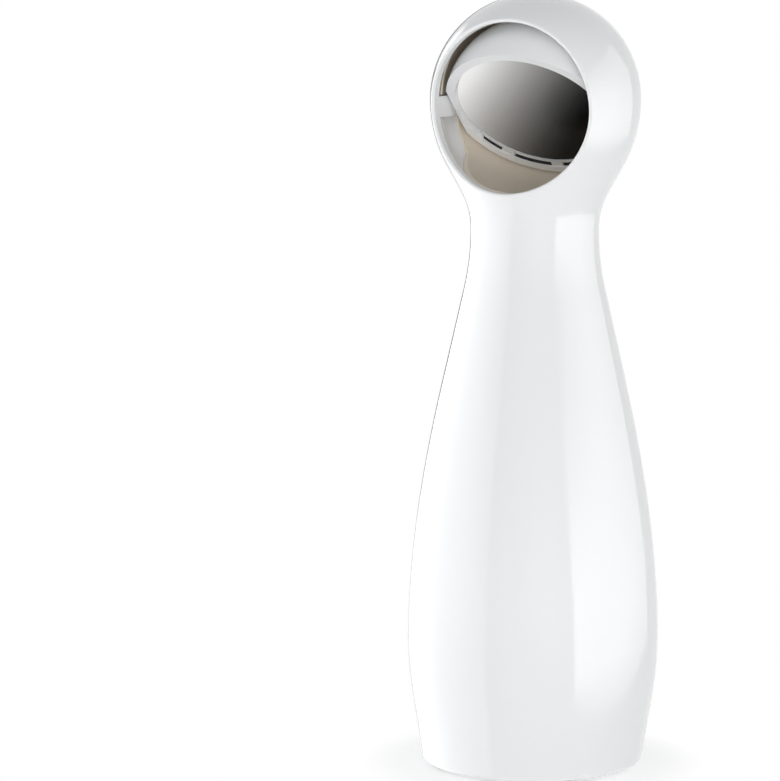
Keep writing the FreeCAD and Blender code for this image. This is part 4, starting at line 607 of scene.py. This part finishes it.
def softbox(name, azimuth, distance, height, size, roll, radiance, fades, glossy):
    """A lamp whose rectangular face looks level at the toy's axis, rolled about that line by
    degrees. The fades are the shares of its face over which it dims to the white round it, towards
    its left, right, lower and upper edge, seen from behind it. It shows either in the gloss alone
    or in the diffuse light alone."""
    lamp = bpy.data.lights.new(name, "AREA")
    lamp.shape = "RECTANGLE"
    lamp.size, lamp.size_y = size
    lamp.energy = radiance * math.pi * size[0] * size[1]
    lamp.use_nodes = True
    tree = lamp.node_tree
    tree.nodes.clear()
    face = add(tree, "ShaderNodeNewGeometry").outputs["Parametric"]
    spot = add(tree, "ShaderNodeSeparateXYZ", {0: face})
    share = 1.0
    for i, fade in enumerate(fades):
        edge = add(tree, "ShaderNodeMapRange", {
            "Value": spot.outputs[i // 2], "From Min": float(i % 2),
            "From Max": fade if i % 2 == 0 else 1 - fade}, interpolation_type="SMOOTHSTEP")
        share = add(tree, "ShaderNodeMath", {0: share, 1: edge}, operation="MULTIPLY")
    strength = add(tree, "ShaderNodeMapRange", {"Value": share, "To Min": 1 / radiance})
    glow = add(tree, "ShaderNodeEmission", {"Strength": strength})
    add(tree, "ShaderNodeOutputLight", {"Surface": glow})
    obj = stand(name, lamp, azimuth, distance, height)
    obj.visible_camera = False
    obj.visible_diffuse = not glossy
    obj.visible_glossy = glossy
    look = Vector((-obj.location.x, -obj.location.y, 0)).to_track_quat("-Z", "Y")
    obj.rotation_quaternion = look @ Quaternion((0, 0, 1), math.radians(roll))


def snoot(name, azimuth, distance, height, spread, softness, watts):
    """A spot lamp on the head that lights the inside of its opening, left out of the gloss."""
    lamp = bpy.data.lights.new(name, "SPOT")
    lamp.energy = watts
    lamp.spot_size, lamp.spot_blend = math.radians(spread), 1.0
    lamp.shadow_soft_size = softness
    obj = stand(name, lamp, azimuth, distance, height)
    obj.visible_camera = obj.visible_glossy = False
    obj.rotation_quaternion = (Vector(PIVOT) - obj.location).to_track_quat("-Z", "Y")


def make_camera():
    """The camera, a metre in front of the toy, to one side and a little higher than its head."""
    data = bpy.data.cameras.new("camera")
    data.sensor_width = SENSOR
    data.lens = FOCAL_PIXELS / IMAGE_SIDE * SENSOR
    data.clip_start, data.clip_end = 0.05, 20.0
    camera = stand("camera", data, VIEW_AZIMUTH, VIEW_DISTANCE, VIEW_HEIGHT)
    turn, pitch = math.radians(VIEW_AZIMUTH + VIEW_PAN), math.radians(VIEW_PITCH)
    look = Vector((-math.sin(turn) * math.cos(pitch), math.cos(turn) * math.cos(pitch),
                   -math.sin(pitch)))
    camera.rotation_quaternion = look.to_track_quat("-Z", "Y")
    bpy.context.scene.camera = camera


def make_world(sizes):
    """White round the toy, greyer overhead, with a dark card behind it at the left that only the
    gloss shows as a thin line along the outline. Plain white to the camera."""
    world = bpy.data.worlds.new("studio")
    world.use_nodes = True
    tree = world.node_tree
    tree.nodes.clear()
    way = add(tree, "ShaderNodeTexCoord").outputs["Generated"]
    path = add(tree, "ShaderNodeLightPath").outputs
    up = add(tree, "ShaderNodeSeparateXYZ", {0: way}).outputs["Z"]
    rise = add(tree, "ShaderNodeMapRange", {"Value": up, "From Min": 0.6, "From Max": 0.95})
    tent = add(tree, "ShaderNodeMix", {"Factor": rise, "A": linear("#FFFFFF"),
                                       "B": linear("#C0C5C8")}, data_type="RGBA")
    angle = math.radians(CARD_AZIMUTH)
    toward = add(tree, "ShaderNodeVectorMath", {
        0: way, 1: (-math.sin(angle), math.cos(angle), 0.0)}, operation="DOT_PRODUCT")
    card = add(tree, "ShaderNodeMapRange", {"Value": toward, "From Min": CARD_COSINES[0],
                                            "From Max": CARD_COSINES[1]},
               interpolation_type="SMOOTHSTEP")
    carded = add(tree, "ShaderNodeMix", {"Factor": card, "A": tent, "B": linear("#2C2D30")},
                 data_type="RGBA")
    mirrored = add(tree, "ShaderNodeMix", {"Factor": path["Is Glossy Ray"], "A": tent, "B": carded},
                   data_type="RGBA")
    level = add(tree, "ShaderNodeMapRange", {"Value": path["Is Diffuse Ray"], "To Min": 1.0,
                                             "To Max": sizes.ambient})
    light = add(tree, "ShaderNodeBackground", {"Color": mirrored, "Strength": level})
    white = add(tree, "ShaderNodeBackground", {"Color": linear("#FFFFFF"), "Strength": 1.0})
    both = add(tree, "ShaderNodeMixShader", {0: path["Is Camera Ray"], 1: light, 2: white})
    add(tree, "ShaderNodeOutputWorld", {"Surface": both})
    bpy.context.scene.world = world


def make_floor(sizes):
    """A round white table top of laminate, matt and even. It keeps the toy's shadow near its foot,
    fades to plain white away from it, and is clear from below."""
    bpy.ops.mesh.primitive_circle_add(vertices=96, radius=sizes.table_radius, fill_type="NGON")
    floor = bpy.context.object
    floor.name = "table_top"
    material = bpy.data.materials.new("white_table_laminate")
    material.use_nodes = True
    tree = material.node_tree
    tree.nodes.clear()
    place = add(tree, "ShaderNodeTexCoord").outputs["Object"]
    path = add(tree, "ShaderNodeLightPath").outputs
    under = add(tree, "ShaderNodeNewGeometry").outputs["Backfacing"]
    away = add(tree, "ShaderNodeVectorMath", {0: place}, operation="LENGTH")
    fade = add(tree, "ShaderNodeMapRange", {"Value": away, "From Min": SHADOW_REACH[0],
                                            "From Max": SHADOW_REACH[1]},
               interpolation_type="SMOOTHSTEP")
    laminate = add(tree, "ShaderNodeBsdfDiffuse", {"Color": linear("#F4F4F4")})
    lift = add(tree, "ShaderNodeEmission", {"Color": linear("#FFFFFF"), "Strength": 0.35})
    near = add(tree, "ShaderNodeAddShader", {0: laminate, 1: lift})
    white = add(tree, "ShaderNodeEmission", {"Color": linear("#FFFFFF"), "Strength": 1.0})
    seen = add(tree, "ShaderNodeMixShader", {0: fade, 1: near, 2: white})
    direct = add(tree, "ShaderNodeMath", {0: path["Is Camera Ray"], 1: path["Is Glossy Ray"]},
                 operation="MAXIMUM")
    through = add(tree, "ShaderNodeMath", {0: direct, 1: path["Is Transmission Ray"]},
                  operation="MAXIMUM")
    glow = add(tree, "ShaderNodeEmission", {"Color": linear("#FFFFFF"), "Strength": 0.2})
    bounce = add(tree, "ShaderNodeAddShader", {0: laminate, 1: glow})
    top = add(tree, "ShaderNodeMixShader", {0: through, 1: bounce, 2: seen})
    clear = add(tree, "ShaderNodeBsdfTransparent")
    both = add(tree, "ShaderNodeMixShader", {0: under, 1: top, 2: clear})
    add(tree, "ShaderNodeOutputMaterial", {"Surface": both})
    floor.data.materials.append(material)
    floor.visible_glossy = False


# ------------------------------------------------------------------ sizes and colours
class StageSizes(bpy.types.PropertyGroup):
    """Brightness of the light, and the table's size"""
    ambient: FloatProperty(
        name="Ambient", description="Brightness of the light from all round",
        default=0.6, min=0.0)
    front_light: FloatProperty(
        name="Front light", description="Brightness of the front lamp's face",
        default=3.8, min=0.0)
    right_light: FloatProperty(
        name="Right light", description="Brightness of the right softbox's face",
        default=2.8, min=0.0)
    left_light: FloatProperty(
        name="Left light", description="Brightness of the left softbox's face",
        default=4.4, min=0.0)
    opening_light: FloatProperty(
        name="Opening light", description="Power of the lamp aimed at the head",
        default=6.0, min=0.0, unit="POWER")
    table_radius: FloatProperty(
        name="Table radius", description="Radius of the white table top",
        default=0.26, min=0.1, unit="LENGTH", subtype="DISTANCE")


class MirrorSizes(bpy.types.PropertyGroup):
    """Sizes of the dark strips of painted shade in the slot under the mirror"""
    lining_radius: FloatProperty(
        name="Lining radius", description="Middle radius of the slot's foam lining",
        default=0.0222, min=0.01, unit="LENGTH", subtype="DISTANCE")
    # Thickness of the dark strips of painted shade in the slot
    lining: FloatProperty(
        name="Lining", description="Thickness of the slot's foam lining",
        default=0.00025, min=0.00005, unit="LENGTH", subtype="DISTANCE")
    lining_depth: FloatProperty(
        name="Lining depth", description="Height of the foam lining in the slot",
        default=0.0029, min=0.0005, unit="LENGTH", subtype="DISTANCE")


class FastenerSizes(bpy.types.PropertyGroup):
    """Sizes of the screws' threads, the springs' wire and the feet's rings"""
    case_thread: FloatProperty(
        name="Case thread", description="Thread radius of the casing's screws",
        default=0.0012, min=0.0005, unit="LENGTH", subtype="DISTANCE")
    case_pitch: FloatProperty(
        name="Case pitch", description="Thread pitch of the casing's screws",
        default=0.001, min=0.0003, unit="LENGTH", subtype="DISTANCE")
    small_thread: FloatProperty(
        name="Small thread", description="Thread radius of the screws inside",
        default=0.0008, min=0.0003, unit="LENGTH", subtype="DISTANCE")
    small_pitch: FloatProperty(
        name="Small pitch", description="Thread pitch of the screws inside",
        default=0.0007, min=0.0002, unit="LENGTH", subtype="DISTANCE")
    spring_wire: FloatProperty(
        name="Spring wire", description="Wire radius of the battery springs",
        default=0.0004, min=0.0001, unit="LENGTH", subtype="DISTANCE")
    spring_turns: FloatProperty(
        name="Spring turns", description="Turns of each battery spring",
        default=3.0, min=1.0)
    foot_ring: FloatProperty(
        name="Foot ring", description="Height of the rings under the rubber feet",
        default=0.0002, min=0.0, unit="LENGTH", subtype="DISTANCE")


class FinishColours(bpy.types.PropertyGroup):
    """The main colour of each finish, under its slot's name"""
    __annotations__ = {
        slot: FloatVectorProperty(
            name=name.replace("_", " ").capitalize(),
            description="Main colour of the finish of slot " + slot,
            default=linear(colour), size=4, min=0.0, max=1.0, subtype="COLOR")
        for slot, (name, colour, *_) in FINISHES.items()}


# ------------------------------------------------------------------ building steps
class TOY_OT_stage(bpy.types.Operator):
    """Make the camera, the white table top, the lamps and the white surroundings"""
    bl_idname = "toy.stage"
    bl_label = "Stage"

    def execute(self, context):
        sizes = context.scene.toy_stage
        context.scene.view_settings.view_transform = "Standard"
        make_camera()
        make_world(sizes)
        make_floor(sizes)
        softbox("softbox_right", azimuth=108.0, distance=0.8, height=0.15, size=(1.74, 0.95),
                roll=14.0, radiance=sizes.right_light, fades=(0.02, 0.6, 0.25, 0.5), glossy=True)
        softbox("softbox_left", azimuth=-75.0, distance=0.6, height=-0.15, size=(1.85, 1.5),
                roll=0.0, radiance=sizes.left_light, fades=(0.02, 0.54, 0.75, 0.25), glossy=True)
        snoot("lamp_opening", azimuth=20.0, distance=0.8, height=0.2, spread=9.0, softness=0.2,
              watts=sizes.opening_light)
        softbox("lamp_front", azimuth=35.0, distance=1.0, height=0.06, size=(0.5, 0.5),
                roll=0.0, radiance=sizes.front_light, fades=(0.1, 0.1, 0.1, 0.1), glossy=False)
        return {"FINISHED"}


class TOY_OT_casing(bpy.types.Operator):
    """Give the casing's two halves and the pivot keys their gloss"""
    bl_idname = "toy.casing"
    bl_label = "Casing"

    def execute(self, context):
        dress("front_shell", "rear_shell", "pivot_keys")
        return {"FINISHED"}


class TOY_OT_mirror(bpy.types.Operator):
    """Finish the mirror, its carrier, its clip and the felt washers, and put dark strips of painted
    shade in the slot
    """
    bl_idname = "toy.mirror"
    bl_label = "Mirror and carrier"

    def execute(self, context):
        dress("mirror_carrier", "mirror_disc", "mirror_clip", "friction_washers")
        sizes = context.scene.toy_mirror
        slope, normal = np.array(MIRROR_SLOPE), np.array(MIRROR_NORMAL)
        floor = np.array(PIVOT) + slope * SLOT_SHIFT * MM + normal * SLOT_FLOOR * MM
        # Dark strips in the black rubber finish, standing on the slot's floor under the mirror as
        # painted shade
        grow("slot_lining", shade_strip_tree(SLOT_SPANS), [floor], [MIRROR_NORMAL], "feet_rubber",
             "mirror", Radius=sizes.lining_radius, Thickness=sizes.lining,
             Depth=sizes.lining_depth)
        return {"FINISHED"}


class TOY_OT_bowl(bpy.types.Operator):
    """Finish the bowl under the mirror, whose warm grey is painted shade, the lining above it and
    the window in it
    """
    bl_idname = "toy.bowl"
    bl_label = "Bowl and window"

    def execute(self, context):
        dress("head_bowl", "head_liner", "laser_window")
        return {"FINISHED"}


class TOY_OT_screws(bpy.types.Operator):
    """Put detailed screws in the casing, the base, the boards and the gear plates"""
    bl_idname = "toy.screws"
    bl_label = "Screws"

    def execute(self, context):
        sizes = context.scene.toy_fasteners
        for name in ("case_screws", "base_screws"):
            grow_screws(name, "root", sizes.case_thread, sizes.case_pitch)
        for name in ("board_screws", "gear_screws"):
            grow_screws(name, "root", sizes.small_thread, sizes.small_pitch)
        dress("door_screw", "door_clip", "screw_insert")
        return {"FINISHED"}


class TOY_OT_springs(bpy.types.Operator):
    """Wind the battery springs"""
    bl_idname = "toy.springs"
    bl_label = "Battery springs"

    def execute(self, context):
        sizes = context.scene.toy_fasteners
        grow_springs("top_springs", "root", sizes.spring_wire, sizes.spring_turns)
        grow_springs("door_springs", "battery_door", sizes.spring_wire, sizes.spring_turns)
        dress("top_contacts", "door_contacts")
        return {"FINISHED"}


class TOY_OT_feet(bpy.types.Operator):
    """Put ringed rubber feet under the base"""
    bl_idname = "toy.feet"
    bl_label = "Feet"

    def execute(self, context):
        feet = islands("rubber_feet")
        lows, highs = [p.min(axis=0) for p in feet], [p.max(axis=0) for p in feet]
        places = [(*((a[:2] + b[:2]) / 2), a[2]) for a, b in zip(lows, highs)]
        size = highs[0] - lows[0]
        grow("rubber_feet_ringed", foot_tree(), places, [(0, 0, 1)] * len(places),
             "feet_rubber", "root", "rubber_feet", Radius=size[0] / 2, Height=size[2],
             Ring=context.scene.toy_fasteners.foot_ring)
        return {"FINISHED"}


class TOY_OT_base(bpy.types.Operator):
    """Finish the base cover, the battery box and its door"""
    bl_idname = "toy.base"
    bl_label = "Base and door"

    def execute(self, context):
        dress("base_cover", "battery_box", "battery_door")
        return {"FINISHED"}


class TOY_OT_cells(bpy.types.Operator):
    """Wrap the four battery cells"""
    bl_idname = "toy.cells"
    bl_label = "Cells"

    def execute(self, context):
        dress("battery_1", "battery_2", "battery_3", "battery_4")
        return {"FINISHED"}


class TOY_OT_boards(bpy.types.Operator):
    """Finish the circuit boards and what is soldered to them"""
    bl_idname = "toy.boards"
    bl_label = "Circuit boards"

    def execute(self, context):
        dress("control_board", "board_chips", "board_capacitors", "board_sockets",
              "switch_board", "tact_switch")
        return {"FINISHED"}


class TOY_OT_button(bpy.types.Operator):
    """Finish the power button and the plunger of its switch"""
    bl_idname = "toy.button"
    bl_label = "Power button"

    def execute(self, context):
        dress("power_button", "switch_plunger")
        return {"FINISHED"}


class TOY_OT_motor(bpy.types.Operator):
    """Finish the motor, its pinion and its strap"""
    bl_idname = "toy.motor"
    bl_label = "Motor"

    def execute(self, context):
        dress("motor_can", "motor_end_cap", "motor_magnets", "motor_armature", "motor_shaft",
              "motor_pinion", "motor_strap")
        return {"FINISHED"}


class TOY_OT_gears(bpy.types.Operator):
    """Finish the gears, their shaft, clip and plates"""
    bl_idname = "toy.gears"
    bl_label = "Gears"

    def execute(self, context):
        dress("lower_gear_plate", "upper_gear_plate", "countershaft", "cluster_gear",
              "lens_pinion", "drum_gear", "drum_clip")
        return {"FINISHED"}


class TOY_OT_laser(bpy.types.Operator):
    """Finish the laser and the wedge lens above it"""
    bl_idname = "toy.laser"
    bl_label = "Laser and lens"

    def execute(self, context):
        dress("laser_diode", "laser_barrel", "barrel_clip", "laser_lens", "lens_gear",
              "wedge_lens", "lens_retainer", "lens_bracket")
        return {"FINISHED"}


GROUPS = {"toy_stage": StageSizes, "toy_mirror": MirrorSizes, "toy_fasteners": FastenerSizes,
          "toy_colours": FinishColours}
OPERATORS = (TOY_OT_stage, TOY_OT_casing, TOY_OT_mirror, TOY_OT_bowl, TOY_OT_screws,
             TOY_OT_springs, TOY_OT_feet, TOY_OT_base, TOY_OT_cells, TOY_OT_boards,
             TOY_OT_button, TOY_OT_motor, TOY_OT_gears, TOY_OT_laser)


class TOY_PT_build(bpy.types.Panel):
    """Lists the toy's building steps, and its sizes and colours"""
    bl_idname = "TOY_PT_build"
    bl_label = "Cat Laser Toy"
    bl_space_type = "VIEW_3D"
    bl_region_type = "UI"
    bl_category = "Toy"

    def draw(self, context):
        for operator in OPERATORS:
            self.layout.operator(operator.bl_idname)
        for key, group in GROUPS.items():
            for name in group.__annotations__:
                self.layout.prop(getattr(context.scene, key), name)


CLASSES = (*GROUPS.values(), *OPERATORS, TOY_PT_build)


def register():
    for cls in CLASSES:
        bpy.utils.register_class(cls)
    for key, group in GROUPS.items():
        setattr(bpy.types.Scene, key, PointerProperty(type=group))


def unregister():
    for key in GROUPS:
        delattr(bpy.types.Scene, key)
    for cls in reversed(CLASSES):
        bpy.utils.unregister_class(cls)


def main():
    register()
    for operator in OPERATORS:
        group, name = operator.bl_idname.split(".")
        getattr(getattr(bpy.ops, group), name)()


if __name__ == "__main__":
    main()
